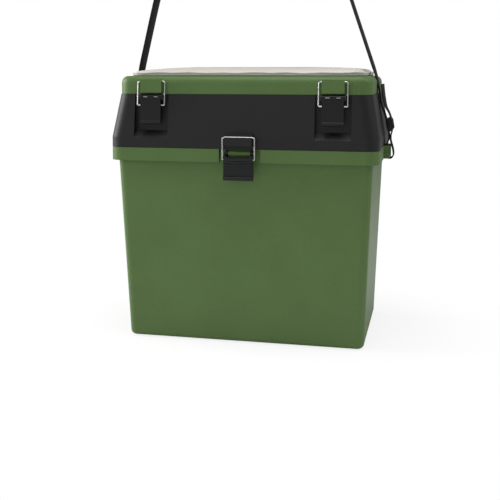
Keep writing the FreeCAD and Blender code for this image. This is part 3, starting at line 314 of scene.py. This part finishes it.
@dataclass(frozen=True)
class Webbing:
    """Woven polypropylene: ribs of yarn across the strap, on the piece's own UV map in metres."""

    name: str = "woven polypropylene webbing"
    dark: str = "#080707"
    light: str = "#1c1a19"
    yarn_mm: float = 1.6
    # How much wider the yarns are across the strap than along it
    across: float = 1.5
    # Pattern values that give the dark colour, painted shade between the yarns, and the light one
    dark_at: float = 0.05
    light_at: float = 0.9
    yarn_depth_mm: float = 0.3
    yarn_strength: float = 0.6
    # Roughness between the yarns and on them
    deep_rough: float = 0.75
    high_rough: float = 0.6
    specular: float = 0.25

    def build(self) -> bpy.types.Material:
        """Makes the material.

        Returns:
            The material.
        """
        material, tree, shader = new_material(self.name)
        uv = add_node(tree, "ShaderNodeTexCoord").outputs["UV"]
        along = add_node(tree, "ShaderNodeTexWave",
                         {"Scale": WAVE_REPEAT / (self.yarn_mm * MM), "bands_direction": "X",
                          "Distortion": 0.4},
                         {"Vector": uv})
        across = add_node(tree, "ShaderNodeTexWave",
                          {"Scale": WAVE_REPEAT / (self.yarn_mm * MM * self.across),
                           "bands_direction": "Y", "Distortion": 0.4},
                          {"Vector": uv})
        weave = add_node(tree, "ShaderNodeMath", {"operation": "MULTIPLY"},
                         {0: along.outputs["Fac"], 1: across.outputs["Fac"]})
        # Painted shade: darker in the low gaps between the yarns, lighter on their raised tops
        ramp = two_tone(tree, weave.outputs[0], self.dark, self.light, self.dark_at, self.light_at)
        bump = add_node(tree, "ShaderNodeBump",
                        {"Strength": self.yarn_strength, "Distance": self.yarn_depth_mm * MM},
                        {"Height": weave.outputs[0]})
        rough = add_node(tree, "ShaderNodeMapRange",
                         {"To Min": self.deep_rough, "To Max": self.high_rough},
                         {"Value": weave.outputs[0]})
        tree.links.new(ramp.outputs["Color"], shader.inputs["Base Color"])
        tree.links.new(rough.outputs["Result"], shader.inputs["Roughness"])
        tree.links.new(bump.outputs["Normal"], shader.inputs["Normal"])
        shader.inputs["Specular IOR Level"].default_value = self.specular
        return material


@dataclass
class Finishes:
    """Every finish on the box, built once."""

    # Coloured in the mass and moulded on a fine grain: an even green with a broad, soft sheen
    green: bpy.types.Material = field(
        default_factory=MouldedPlastic("green polypropylene", "#4b6534", "#506a39", 0.46).build)
    # The same moulding with carbon black: a dull black that greys a little in the light
    black: bpy.types.Material = field(
        default_factory=MouldedPlastic("black polypropylene", "#131314", "#171718", 0.5).build)
    # Moulded nylon is denser: a deeper, cooler black with a tighter sheen
    latch_black: bpy.types.Material = field(
        default_factory=MouldedPlastic("black nylon", "#08090b", "#0c0d10", 0.42).build)
    # Moulded polystyrene takes a smoother face: a mid grey with a slight gloss
    grey: bpy.types.Material = field(
        default_factory=MouldedPlastic("grey polystyrene", "#6d7072", "#7d8082", 0.35).build)
    clear: bpy.types.Material = field(default_factory=ClearPlastic().build)
    steel: bpy.types.Material = field(default_factory=PlatedSteel().build)
    vinyl: bpy.types.Material = field(default_factory=PadVinyl().build)
    webbing: bpy.types.Material = field(default_factory=Webbing().build)


def dress(piece: bpy.types.Object, material: bpy.types.Material) -> None:
    """Gives a piece one material all over.

    Args:
        piece: the object.
        material: its material.
    """
    piece.data.materials.clear()
    piece.data.materials.append(material)
    for face in piece.data.polygons:
        face.material_index = 0


def deselect() -> None:
    """Leaves nothing selected, so that an operator acts on the new piece alone."""
    if bpy.context.object and bpy.context.object.mode != "OBJECT":
        bpy.ops.object.mode_set(mode="OBJECT")
    bpy.ops.object.select_all(action="DESELECT")


def clamp(value: float) -> float:
    """Keeps a value between 0 and 1."""
    return min(max(value, 0.0), 1.0)


def new_object(name: str, data: bpy.types.ID) -> bpy.types.Object:
    """Puts a mesh, curve, lamp or camera into the scene.

    Args:
        name: the object's name.
        data: what the object holds.

    Returns:
        The object.
    """
    piece = bpy.data.objects.new(name, data)
    bpy.context.scene.collection.objects.link(piece)
    return piece


def smooth_line(name: str, points: list[Point], steps: int, closed: bool = False,
                radius: float = 0.0) -> bpy.types.Mesh:
    """Makes a mesh of the smooth NURBS line that some points control.

    Args:
        name: the name of the curve.
        points: its control points, in metres.
        steps: steps of the line from one point to the next.
        closed: whether the line ends where it starts.
        radius: half the thickness of the rod round the line, or 0 for the bare line.

    Returns:
        The mesh.
    """
    data = bpy.data.curves.new(name, "CURVE")
    data.dimensions = "3D"
    data.bevel_depth, data.bevel_resolution = radius, 3
    spline = data.splines.new("NURBS")
    spline.points.add(len(points) - 1)
    for point, place in zip(spline.points, points):
        point.co = (*place, 1.0)
    spline.order_u = 3
    spline.use_cyclic_u, spline.use_endpoint_u = closed, not closed
    spline.resolution_u = steps
    curve = new_object(name, data)
    mesh = bpy.data.meshes.new_from_object(curve)
    bpy.data.objects.remove(curve)
    return mesh


def settle(piece: bpy.types.Object, name: str) -> bpy.types.Object:
    """Names a piece and puts its place into its mesh.

    Args:
        piece: the object, in place.
        name: its name.

    Returns:
        The piece.
    """
    deselect()
    piece.select_set(True)
    bpy.context.view_layer.objects.active = piece
    bpy.ops.object.transform_apply(location=True, rotation=True, scale=True)
    piece.name = name
    piece.data.name = name
    return piece


def apply_modifiers(piece: bpy.types.Object) -> None:
    """Applies every modifier of a piece.

    Args:
        piece: the object.
    """
    deselect()
    piece.select_set(True)
    bpy.context.view_layer.objects.active = piece
    for modifier in list(piece.modifiers):
        bpy.ops.object.modifier_apply(modifier=modifier.name)


@dataclass
class Stage:
    """The pale floor, the soft lamps, the world and the camera."""

    azimuth: float = 12.09
    elevation: float = 3.95
    distance: float = 1.2769
    aim: Point = (0.0, 0.0, 0.300)
    focal_px: float = 836.94
    centre_px: tuple[float, float] = (257.59, 128.91)
    image_px: float = 500.0
    sensor_mm: float = 36.0
    world_light: float = 0.3
    world_colour: str = "#f4f5f6"
    # Each soft lamp: its name, its place and width in metres, and its power in watts
    lamps: tuple[tuple[str, Point, float, float], ...] = (
        ("front", (-0.4, -2.4, 1.3), 1.6, 7.6),
        ("left", (-1.9, -0.1, 0.9), 1.2, 40.0),
        ("right", (1.6, 0.2, 1.7), 1.2, 13.5),
        ("top", (0.1, -0.3, 2.3), 1.6, 31.0),
    )
    floor_radius: float = 6.0
    floor_drop: float = 0.0005
    floor_dark: str = "#f1f1f0"
    floor_light: str = "#f6f6f5"
    # Where the floor starts to turn white and where it is white, from the box's middle, and its
    # share of white before that
    fade_start: float = 0.24
    fade_end: float = 0.42
    floor_white: float = 0.8

    def camera(self) -> None:
        """Makes the camera at the photograph's viewing angle."""
        data = bpy.data.cameras.new("camera")
        camera = new_object("camera", data)
        turn, lift = math.radians(self.azimuth), math.radians(self.elevation)
        back = Vector((math.sin(turn) * math.cos(lift), -math.cos(turn) * math.cos(lift),
                       math.sin(lift)))
        camera.location = Vector(self.aim) + back * self.distance
        camera.rotation_euler = (-back).to_track_quat("-Z", "Y").to_euler()
        data.sensor_width = self.sensor_mm
        data.lens = self.focal_px / self.image_px * data.sensor_width
        data.shift_x = (self.image_px / 2 - self.centre_px[0]) / self.image_px
        data.shift_y = (self.centre_px[1] - self.image_px / 2) / self.image_px
        bpy.context.scene.camera = camera
        log.info("camera at %s", [round(v, 3) for v in camera.location])

    def lamp(self, name: str, place: Point, size: float, power: float) -> None:
        """Adds one soft lamp that faces the box.

        Args:
            name: the lamp's name.
            place: where it stands, in metres.
            size: its width.
            power: its power in watts.
        """
        data = bpy.data.lights.new(name, "AREA")
        data.size, data.energy = size, power
        lamp = new_object(name, data)
        lamp.location = place
        lamp.rotation_euler = (Vector(self.aim) - Vector(place)).to_track_quat("-Z", "Y").to_euler()

    def world(self) -> None:
        """White to the camera and in reflections, soft grey light on the box."""
        world = bpy.data.worlds.new("studio")
        bpy.context.scene.world = world
        world.use_nodes = True
        tree = world.node_tree
        tree.nodes.clear()
        path = add_node(tree, "ShaderNodeLightPath")
        seen = add_node(tree, "ShaderNodeMath", {"operation": "MAXIMUM"},
                        {0: path.outputs["Is Camera Ray"], 1: path.outputs["Is Transmission Ray"]})
        soft = add_node(tree, "ShaderNodeBackground",
                        {"Color": linear(self.world_colour), "Strength": self.world_light})
        white = add_node(tree, "ShaderNodeBackground", {"Color": linear(WHITE), "Strength": 1.0})
        mix = add_node(tree, "ShaderNodeMixShader",
                       links={0: seen.outputs[0], 1: soft.outputs[0], 2: white.outputs[0]})
        add_node(tree, "ShaderNodeOutputWorld", links={0: mix.outputs[0]})

    def floor(self) -> None:
        """Lays the pale floor, which keeps the box's shadow and fades to white further out."""
        deselect()
        bpy.ops.mesh.primitive_circle_add(vertices=64, radius=self.floor_radius, fill_type="NGON",
                                          location=(0, 0, -self.floor_drop))
        floor = settle(bpy.context.object, "floor")
        material, tree, shader = new_material("matt white paint")
        place = add_node(tree, "ShaderNodeTexCoord").outputs["Object"]
        cloud = add_node(tree, "ShaderNodeTexNoise", {"Scale": 2.0}, {"Vector": place})
        ramp = two_tone(tree, cloud.outputs["Fac"], self.floor_dark, self.floor_light)
        tree.links.new(ramp.outputs["Color"], shader.inputs["Base Color"])
        shader.inputs["Roughness"].default_value = 0.9
        away = add_node(tree, "ShaderNodeVectorMath", {"operation": "LENGTH"}, {0: place})
        fade = add_node(tree, "ShaderNodeMapRange",
                        {"interpolation_type": "SMOOTHSTEP", "From Min": self.fade_start,
                         "From Max": self.fade_end, "To Min": self.floor_white, "To Max": 1.0},
                        {"Value": away.outputs["Value"]})
        path = add_node(tree, "ShaderNodeLightPath")
        amount = add_node(tree, "ShaderNodeMath", {"operation": "MULTIPLY"},
                          {0: fade.outputs["Result"], 1: path.outputs["Is Camera Ray"]})
        white = add_node(tree, "ShaderNodeEmission", {"Color": linear(WHITE), "Strength": 1.0})
        mix = add_node(tree, "ShaderNodeMixShader",
                       links={0: amount.outputs[0], 1: shader.outputs[0], 2: white.outputs[0]})
        tree.links.new(mix.outputs[0], tree.nodes["Material Output"].inputs["Surface"])
        dress(floor, material)

    def build(self) -> None:
        """Sets up everything round the box."""
        bpy.context.scene.view_settings.view_transform = "Standard"
        self.camera()
        self.world()
        self.floor()
        for name, place, size, power in self.lamps:
            self.lamp(name, place, size, power)


@dataclass
class Strap:
    """The carrying strap: flat webbing looped through both lugs and drawn up over the box."""

    finishes: Finishes
    sliders: list[bpy.types.Object]
    width_mm: float = 25.0
    thickness_mm: float = 1.6
    selvedge_mm: float = 0.8
    line_steps: int = 12
    # X and Z in millimetres, from the right tail tip to the top of the arch
    right: tuple[tuple[float, float], ...] = (
        (188.4, 369.3), (190.8, 339.9), (200.7, 324.3), (204.1, 303.3), (199.7, 289.5),
        (205.7, 271.2), (204.9, 260.4), (193.9, 260.4), (193.9, 279.8), (200.6, 289.5),
        (193.4, 324.3), (186.6, 338.3), (182.8, 371.0), (172.3, 402.4), (141.6, 492.6),
        (122.0, 553.0),
    )
    # And from the top down to the left tail tip
    left: tuple[tuple[float, float], ...] = (
        (-142.0, 560.0), (-159.4, 498.0), (-177.4, 422.5), (-187.3, 381.0), (-186.6, 338.3),
        (-193.4, 324.3), (-200.6, 289.5), (-193.9, 279.8), (-193.9, 260.4), (-204.9, 260.4),
        (-205.7, 271.2), (-199.7, 289.5), (-204.1, 303.3), (-200.7, 324.3), (-190.8, 339.9),
        (-188.4, 369.3),
    )
    top: tuple[float, float] = (-10.0, 603.0)
    # The right side turns a little to the front: the strap above the lid, the tail above its slider
    twist_deg: float = 5.5
    strap_turns: tuple[float, float] = (0.366, 0.395)
    tail_turns: tuple[float, float] = (0.328, 0.345)
    # The left side turns the same way by this share
    left_share: float = 0.6
    # Nearer to the middle than this, the turn dies away towards the top of the arch
    full_turn_mm: float = 100.0
    # The run from the right tip that counts as the tail, in metres
    tail_length: float = 0.08

    def route(self) -> list[Point]:
        """The points of the whole strap in metres.

        Returns:
            Points from the right tail to the left tail.
        """
        return [(x * MM, 0.0, z * MM) for x, z in (*self.right, self.top, *self.left)]

    def line(self) -> list[Vector]:
        """Even points along the strap's smooth line.

        Returns:
            The points of its NURBS curve.
        """
        mesh = smooth_line("strap_line", self.route(), self.line_steps)
        return [vertex.co.copy() for vertex in mesh.vertices]

    def twist(self, point: Vector, tail: bool) -> float:
        """How far the webbing is turned about its own line at a point.

        Args:
            point: a point of the line.
            tail: whether it is on the right tail.

        Returns:
            The angle in radians.
        """
        low, high = self.tail_turns if tail else self.strap_turns
        end_share = 1.0 if point.x > 0 else self.left_share
        side = clamp(abs(point.x) / (self.full_turn_mm * MM)) * end_share
        return math.radians(self.twist_deg) * clamp((point.z - low) / (high - low)) * side

    def build(self) -> bpy.types.Object:
        """Makes the webbing as a flat band with rounded selvedges.

        Returns:
            The strap.
        """
        line = self.line()
        half_w, half_t = self.width_mm * MM / 2, self.thickness_mm * MM / 2
        selvedge = self.selvedge_mm * MM
        # The section: across the strap and through its thickness, once round
        flat = half_w - selvedge
        section = [(-half_w, 0.0), (-flat, half_t), (0.0, half_t), (flat, half_t),
                   (half_w, 0.0), (flat, -half_t), (0.0, -half_t), (-flat, -half_t)]
        mesh = bmesh.new()
        uv = mesh.loops.layers.uv.new("webbing")
        rings, run, lengths = [], 0.0, []
        for n, point in enumerate(line):
            ahead = (line[min(n + 1, len(line) - 1)] - line[max(n - 1, 0)]).normalized()
            normal, wide = Vector((ahead.z, 0.0, -ahead.x)), Vector((0.0, 1.0, 0.0))
            upward = ahead if ahead.z > 0 else -ahead
            turn = Quaternion(upward, -self.twist(point, run < self.tail_length))
            rings.append([mesh.verts.new(point + turn @ (wide * across + normal * through))
                          for across, through in section])
            run += (point - line[n - 1]).length if n else 0.0
            lengths.append(run)
        count = len(section)
        for n in range(len(rings) - 1):
            for k in range(count):
                j = (k + 1) % count
                face = mesh.faces.new((rings[n][k], rings[n][j], rings[n + 1][j], rings[n + 1][k]))
                face.smooth = True
                corners = ((n, k), (n, j), (n + 1, j), (n + 1, k))
                for loop, (step, corner) in zip(face.loops, corners):
                    loop[uv].uv = (lengths[step], section[corner][0])
        mesh.faces.new(rings[0])
        mesh.faces.new(rings[-1])
        bmesh.ops.recalc_face_normals(mesh, faces=mesh.faces)
        data = bpy.data.meshes.new("strap")
        mesh.to_mesh(data)
        mesh.free()
        strap = new_object("strap", data)
        dress(strap, self.finishes.webbing)
        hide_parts("strap_webbing")
        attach(strap, "tub")
        log.info("strap %.3f m long", lengths[-1])
        return strap


@dataclass
class Cushion:
    """The thin pad on the lid, swollen by a short cloth simulation."""

    finishes: Finishes
    voxel_mm: float = 3.0
    merge_mm: float = 0.01
    # The cloth: how far a point may move, its height over the foot, the air in it, and its run
    cap_mm: float = 1.6
    lid_gap_mm: float = 0.2
    pressure: float = 4.0
    frames: int = 20
    # The welt along the edge: its radius, its height over the foot, and its small waves
    welt_mm: float = 1.3
    welt_rise_mm: float = 4.6
    welt_steps: int = 4
    wave_mm: float = 0.5
    wave_length_mm: float = 47.0
    # A second, slower wave: its share of the first one's height, and how fast it runs beside it
    slow_share: float = 0.6
    slow_rate: float = 0.37
    corner_mm: float = 22.0
    corner_step_deg: int = 15
    # The border's lines, each by its height over the foot and its swell; the last is at the welt
    border_mm: tuple[tuple[float, float], ...] = ((0.1, -0.5), (1.2, 0.3), (3.0, 0.5))
    border_top_swell_mm: float = -0.2
    border_step_mm: float = 8.0
    border_thick_mm: float = 0.8
    # The right end is fuller than the rest: by how much, from where, and how wide its edge falls
    full_mm: float = 4.4
    full_from_mm: float = 90.0
    full_edge_mm: float = 7.0
    # How steeply the fullness grows towards the end, and how it falls off at the edge
    full_power: float = 1.8
    edge_power: float = 0.5

    def build(self) -> bpy.types.Object:
        """Makes the pad from the form of its solid.

        Returns:
            The pad.
        """
        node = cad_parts["seat_cushion"]
        data = node.data.copy()
        pad = new_object("seat_pad", data)
        shape = bmesh.new()
        shape.from_mesh(data)
        bmesh.ops.remove_doubles(shape, verts=shape.verts, dist=self.merge_mm * MM)
        bmesh.ops.recalc_face_normals(shape, faces=shape.faces)
        shape.to_mesh(data)
        shape.free()
        remesh = pad.modifiers.new("remesh", "REMESH")
        remesh.mode = "VOXEL"
        remesh.voxel_size = self.voxel_mm * MM
        remesh.use_smooth_shade = True
        apply_modifiers(pad)
        self.swell(pad)
        smooth = pad.modifiers.new("finer", "SUBSURF")
        smooth.levels = smooth.render_levels = 1
        apply_modifiers(pad)
        self.fill_end(pad)
        for face in pad.data.polygons:
            face.use_smooth = True
        dress(pad, self.finishes.vinyl)
        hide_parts("seat_cushion")
        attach(pad, "seat_lid")
        log.info("seat pad with %d faces", len(pad.data.polygons))
        self.border()
        self.welt()
        return pad

    def fill_end(self, pad: bpy.types.Object) -> None:
        """Lifts the top of the pad towards its right end, where its filling is fuller.

        Args:
            pad: the finished pad.
        """
        low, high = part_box("seat_cushion")
        edge = self.full_edge_mm * MM
        for vertex in pad.data.vertices:
            x, y, z = vertex.co
            rise = clamp((x - self.full_from_mm * MM) / (high[0] - self.full_from_mm * MM))
            inside = clamp(min(high[0] - x, high[1] - abs(y)) / edge)
            upper = clamp((z - low[2]) / (high[2] - low[2]))
            vertex.co.z += (self.full_mm * MM * rise ** self.full_power
                            * inside ** self.edge_power * upper)

    def perimeter(self, step: float) -> list[Point]:
        """Points round the edge of the pad.

        Args:
            step: the longest distance between two of them, in metres.

        Returns:
            X, Y and the length run so far, for each point.
        """
        reach_x, reach_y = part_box("seat_cushion")[1][:2]
        corner = self.corner_mm * MM
        right, back = reach_x - corner, reach_y - corner
        middles = ((right, -back, -90), (right, back, 0), (-right, back, 90), (-right, -back, 180))
        turns = [(x + corner * math.cos(math.radians(start + turn)),
                  y + corner * math.sin(math.radians(start + turn)))
                 for x, y, start in middles for turn in range(0, 91, self.corner_step_deg)]
        points, run = [], 0.0
        for (x0, y0), (x1, y1) in zip(turns, turns[1:] + turns[:1]):
            length = math.hypot(x1 - x0, y1 - y0)
            count = max(1, round(length / step))
            for n in range(count):
                share = n / count
                points.append((x0 + (x1 - x0) * share, y0 + (y1 - y0) * share,
                               run + length * share))
            run += length
        return points

    def border(self) -> bpy.types.Object:
        """Makes the upright strip of vinyl between the foot of the pad and its welt.

        Returns:
            The border.
        """
        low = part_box("seat_cushion")[0][2]
        mesh = bmesh.new()
        rings = []
        points = self.perimeter(self.border_step_mm * MM)
        for height, swell in (*self.border_mm, (self.welt_rise_mm, self.border_top_swell_mm)):
            ring = []
            for x, y, _ in points:
                out = Vector((x, y, 0.0)).normalized() * swell * MM
                ring.append(mesh.verts.new((x + out.x, y + out.y, low + height * MM)))
            rings.append(ring)
        for under, over in zip(rings, rings[1:]):
            for n in range(len(under)):
                after = (n + 1) % len(under)
                mesh.faces.new((under[n], under[after], over[after], over[n])).smooth = True
        data = bpy.data.meshes.new("seat_pad_border")
        mesh.to_mesh(data)
        mesh.free()
        border = new_object("seat_pad_border", data)
        wall = border.modifiers.new("wall", "SOLIDIFY")
        wall.thickness, wall.offset = self.border_thick_mm * MM, -1.0
        apply_modifiers(border)
        dress(border, self.finishes.vinyl)
        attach(border, "seat_lid")
        return border

    def welt(self) -> bpy.types.Object:
        """Runs the sewn welt round the edge of the pad, a little wavy as on the real one.

        Returns:
            The welt.
        """
        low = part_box("seat_cushion")[0][2]
        points: list[Point] = []
        for x, y, run in self.perimeter(self.wave_length_mm * MM / 4):
            phase = 2 * math.pi * run / (self.wave_length_mm * MM)
            slow = self.slow_share * math.sin(phase * self.slow_rate)
            wave = self.wave_mm * (math.sin(phase) + slow)
            points.append((x, y, low + (self.welt_rise_mm + wave) * MM))
        rod = smooth_line("welt_line", points, self.welt_steps, True, self.welt_mm * MM)
        welt = new_object("seat_pad_welt", rod)
        for face in welt.data.polygons:
            face.use_smooth = True
        dress(welt, self.finishes.vinyl)
        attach(welt, "seat_lid")
        log.info("welt with %d points", len(points))
        return welt

    def swell(self, pad: bpy.types.Object) -> None:
        """Runs the cloth simulation, with every point held near its start and off the lid.

        Args:
            pad: the remeshed pad.
        """
        start = [vertex.co.copy() for vertex in pad.data.vertices]
        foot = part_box("seat_cushion")[0][2]
        cloth = pad.modifiers.new("cloth", "CLOTH")
        cloth.settings.use_pressure = True
        cloth.settings.uniform_pressure_force = self.pressure
        cloth.settings.effector_weights.gravity = 0.0
        cloth.point_cache.frame_start, cloth.point_cache.frame_end = 1, self.frames
        scene = bpy.context.scene
        for step in range(1, self.frames + 1):
            scene.frame_set(step)
        apply_modifiers(pad)
        cap = self.cap_mm * MM
        for vertex, before in zip(pad.data.vertices, start):
            move = vertex.co - before
            if move.length > cap:
                move *= cap / move.length
            vertex.co = before + move
            vertex.co.z = max(vertex.co.z, foot + self.lid_gap_mm * MM)
        scene.frame_set(1)


@dataclass
class StrapSlider:
    """The plastic slider on each doubled strap: two rounded side rails and three bars."""

    finishes: Finishes
    side: Side
    rail_mm: float = 3.0
    bar_mm: float = 2.4
    height_mm: float = 19.6
    # Middle of the slider, its depth across both layers, and its lean
    middle_x_mm: float = 199.9
    middle_z_mm: float = 310.1
    depth_mm: float = 9.8
    reach_y_mm: float = 12.8
    lean_deg: float = -9.2
    # X and Z of each bar from the middle of the slider
    bars_mm: tuple[tuple[float, float], ...] = ((-1.2, 0.0), (1.8, -7.2), (1.8, 7.2))
    corner_mm: float = 4.75
    corner_steps: int = 7
    rail_edge_mm: float = 0.5
    bar_edge_mm: float = 0.4

    def rail(self, sign: int) -> bpy.types.Object:
        """Makes one side rail as a plate with large round corners.

        Args:
            sign: -1 for the front rail, 1 for the back one.

        Returns:
            The rail.
        """
        deselect()
        place = (0.0, sign * (self.reach_y_mm + self.rail_mm / 2) * MM, 0.0)
        bpy.ops.mesh.primitive_cube_add(size=1.0, location=place)
        rail = settle(bpy.context.object, "rail")
        bpy.ops.object.mode_set(mode="EDIT")
        bpy.ops.mesh.select_all(action="SELECT")
        bpy.ops.transform.resize(value=(self.depth_mm * MM, self.rail_mm * MM, self.height_mm * MM),
                                 center_override=place)
        bpy.ops.object.mode_set(mode="OBJECT")
        corners = bmesh.new()
        corners.from_mesh(rail.data)
        across = [edge for edge in corners.edges
                  if abs(edge.verts[0].co.y - edge.verts[1].co.y) > self.rail_mm * MM / 2]
        bmesh.ops.bevel(corners, geom=across, offset=self.corner_mm * MM,
                        segments=self.corner_steps, profile=0.5, affect="EDGES")
        corners.to_mesh(rail.data)
        corners.free()
        soft = rail.modifiers.new("soft", "BEVEL")
        soft.width, soft.segments = self.rail_edge_mm * MM, 2
        soft.limit_method, soft.angle_limit = "ANGLE", math.radians(50)
        apply_modifiers(rail)
        return rail

    def build(self) -> bpy.types.Object:
        """Makes the whole slider in place.

        Returns:
            The slider.
        """
        pieces = [self.rail(-1), self.rail(1)]
        for x, z in self.bars_mm:
            deselect()
            bpy.ops.mesh.primitive_cylinder_add(vertices=20, radius=self.bar_mm * MM / 2,
                                                depth=(2 * self.reach_y_mm + self.rail_mm) * MM,
                                                location=(x * MM, 0.0, z * MM),
                                                rotation=(math.pi / 2, 0.0, 0.0))
            bar = settle(bpy.context.object, "bar")
            bpy.ops.object.mode_set(mode="EDIT")
            bpy.ops.mesh.select_all(action="SELECT")
            bpy.ops.mesh.bevel(offset=self.bar_edge_mm * MM, segments=1)
            bpy.ops.object.mode_set(mode="OBJECT")
            pieces.append(bar)
        deselect()
        for piece in pieces:
            piece.select_set(True)
        bpy.context.view_layer.objects.active = pieces[0]
        bpy.ops.object.join()
        slider = bpy.context.object
        sign = 1 if self.side is Side.RIGHT else -1
        bpy.ops.object.mode_set(mode="EDIT")
        bpy.ops.mesh.select_all(action="SELECT")
        if sign < 0:
            bpy.ops.transform.resize(value=(-1.0, 1.0, 1.0), center_override=(0.0, 0.0, 0.0))
        bpy.ops.mesh.normals_make_consistent(inside=False)
        bpy.ops.object.mode_set(mode="OBJECT")
        slider.rotation_euler = (0.0, math.radians(self.lean_deg * sign), 0.0)
        slider.location = (sign * self.middle_x_mm * MM, 0.0, self.middle_z_mm * MM)
        name = f"{self.side.value}_strap_slider"
        slider = settle(slider, name + "_piece")
        bpy.ops.object.shade_smooth_by_angle(angle=SMOOTH_ANGLE)
        dress(slider, self.finishes.latch_black)
        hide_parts(name)
        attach(slider, "tub")
        log.info("%s", slider.name)
        return slider


@dataclass
class LeverRidges:
    """Finger ridges across the front lever, which sag a little to the middle."""

    finishes: Finishes
    radius_mm: float = 110.0
    wire_mm: float = 1.1
    half_mm: float = 19.0
    face_y_mm: float = -129.2
    # Height of the middle of each ridge
    levels_mm: tuple[float, ...] = (266.6, 262.2, 257.8)
    ring_steps: int = 180

    def build(self) -> None:
        """Makes each ridge as the lowest stretch of a thin ring."""
        for number, level in enumerate(self.levels_mm, start=1):
            deselect()
            place = (0.0, self.face_y_mm * MM, (level + self.radius_mm) * MM)
            bpy.ops.mesh.primitive_torus_add(major_radius=self.radius_mm * MM,
                                             minor_radius=self.wire_mm * MM,
                                             major_segments=self.ring_steps, minor_segments=8,
                                             location=place, rotation=(math.pi / 2, 0.0, 0.0))
            ridge = settle(bpy.context.object, f"front_lever_ridge_{number}")
            bpy.ops.object.mode_set(mode="EDIT")
            for side in (-1, 1):
                bpy.ops.mesh.select_all(action="SELECT")
                bpy.ops.mesh.bisect(plane_co=(side * self.half_mm * MM, 0.0, 0.0),
                                    plane_no=(side, 0.0, 0.0), clear_outer=True, use_fill=True)
            bpy.ops.mesh.select_all(action="SELECT")
            bpy.ops.mesh.bisect(plane_co=(0.0, 0.0, place[2]), plane_no=(0.0, 0.0, 1.0),
                                clear_outer=True)
            bpy.ops.object.mode_set(mode="OBJECT")
            bpy.ops.object.shade_smooth_by_angle(angle=SMOOTH_ANGLE)
            dress(ridge, self.finishes.latch_black)
            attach(ridge, "front_latch_lever")
        log.info("%d lever ridges", len(self.levels_mm))


@dataclass
class LeverPins:
    """The steel pin that shows bright in the two slots of each upper lever's head."""

    finishes: Finishes
    radius_mm: float = 0.7
    length_mm: float = 6.0
    # Middle of the left and the right lever, and of each slot from there
    levers_mm: tuple[float, float] = (-129.5, 129.5)
    slots_mm: tuple[float, float] = (-7.6, 7.6)
    place_mm: tuple[float, float] = (-118.7, 351.8)

    def build(self) -> None:
        """Makes the stretch of pin that each slot leaves open."""
        y, z = self.place_mm
        for side, middle in zip((Side.LEFT, Side.RIGHT), self.levers_mm):
            for number, offset in enumerate(self.slots_mm, start=1):
                deselect()
                place = ((middle + offset) * MM, y * MM, z * MM)
                bpy.ops.mesh.primitive_cylinder_add(vertices=16, radius=self.radius_mm * MM,
                                                    depth=self.length_mm * MM, location=place,
                                                    rotation=(0.0, math.pi / 2, 0.0))
                pin = settle(bpy.context.object, f"{side.value}_lever_pin_{number}")
                bpy.ops.object.shade_smooth_by_angle(angle=SMOOTH_ANGLE)
                dress(pin, self.finishes.steel)
                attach(pin, f"{side.value}_latch_lever")
        log.info("pins in the lever heads")


@dataclass
class Mouldings:
    """The rigid pieces whose own solids are shown, each with its real finish."""

    finishes: Finishes

    def build(self) -> None:
        """Dresses every carried-over node by its name or a word in it, and the rest as latches."""
        by_name = {
            "tub": self.finishes.green,
            "seat_lid": self.finishes.green,
            "top_section": self.finishes.black,
            "strap_webbing": self.finishes.webbing,
            "seat_cushion": self.finishes.vinyl,
        }
        by_word = {
            "divider": self.finishes.grey,
            "cover": self.finishes.clear,
            "bail": self.finishes.steel,
            "pins": self.finishes.steel,
        }
        for name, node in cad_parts.items():
            worded = [finish for word, finish in by_word.items() if word in name]
            dress(node, by_name.get(name, worded[0] if worded else self.finishes.latch_black))
        log.info("dressed %d nodes", len(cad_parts))


def main() -> None:
    """Builds the stage and each part of the box in order."""
    Stage().build()
    finishes = Finishes()
    sliders = [StrapSlider(finishes, side).build() for side in (Side.LEFT, Side.RIGHT)]
    Strap(finishes, sliders).build()
    Mouldings(finishes).build()
    LeverRidges(finishes).build()
    LeverPins(finishes).build()
    Cushion(finishes).build()


if __name__ == "__main__":
    main()
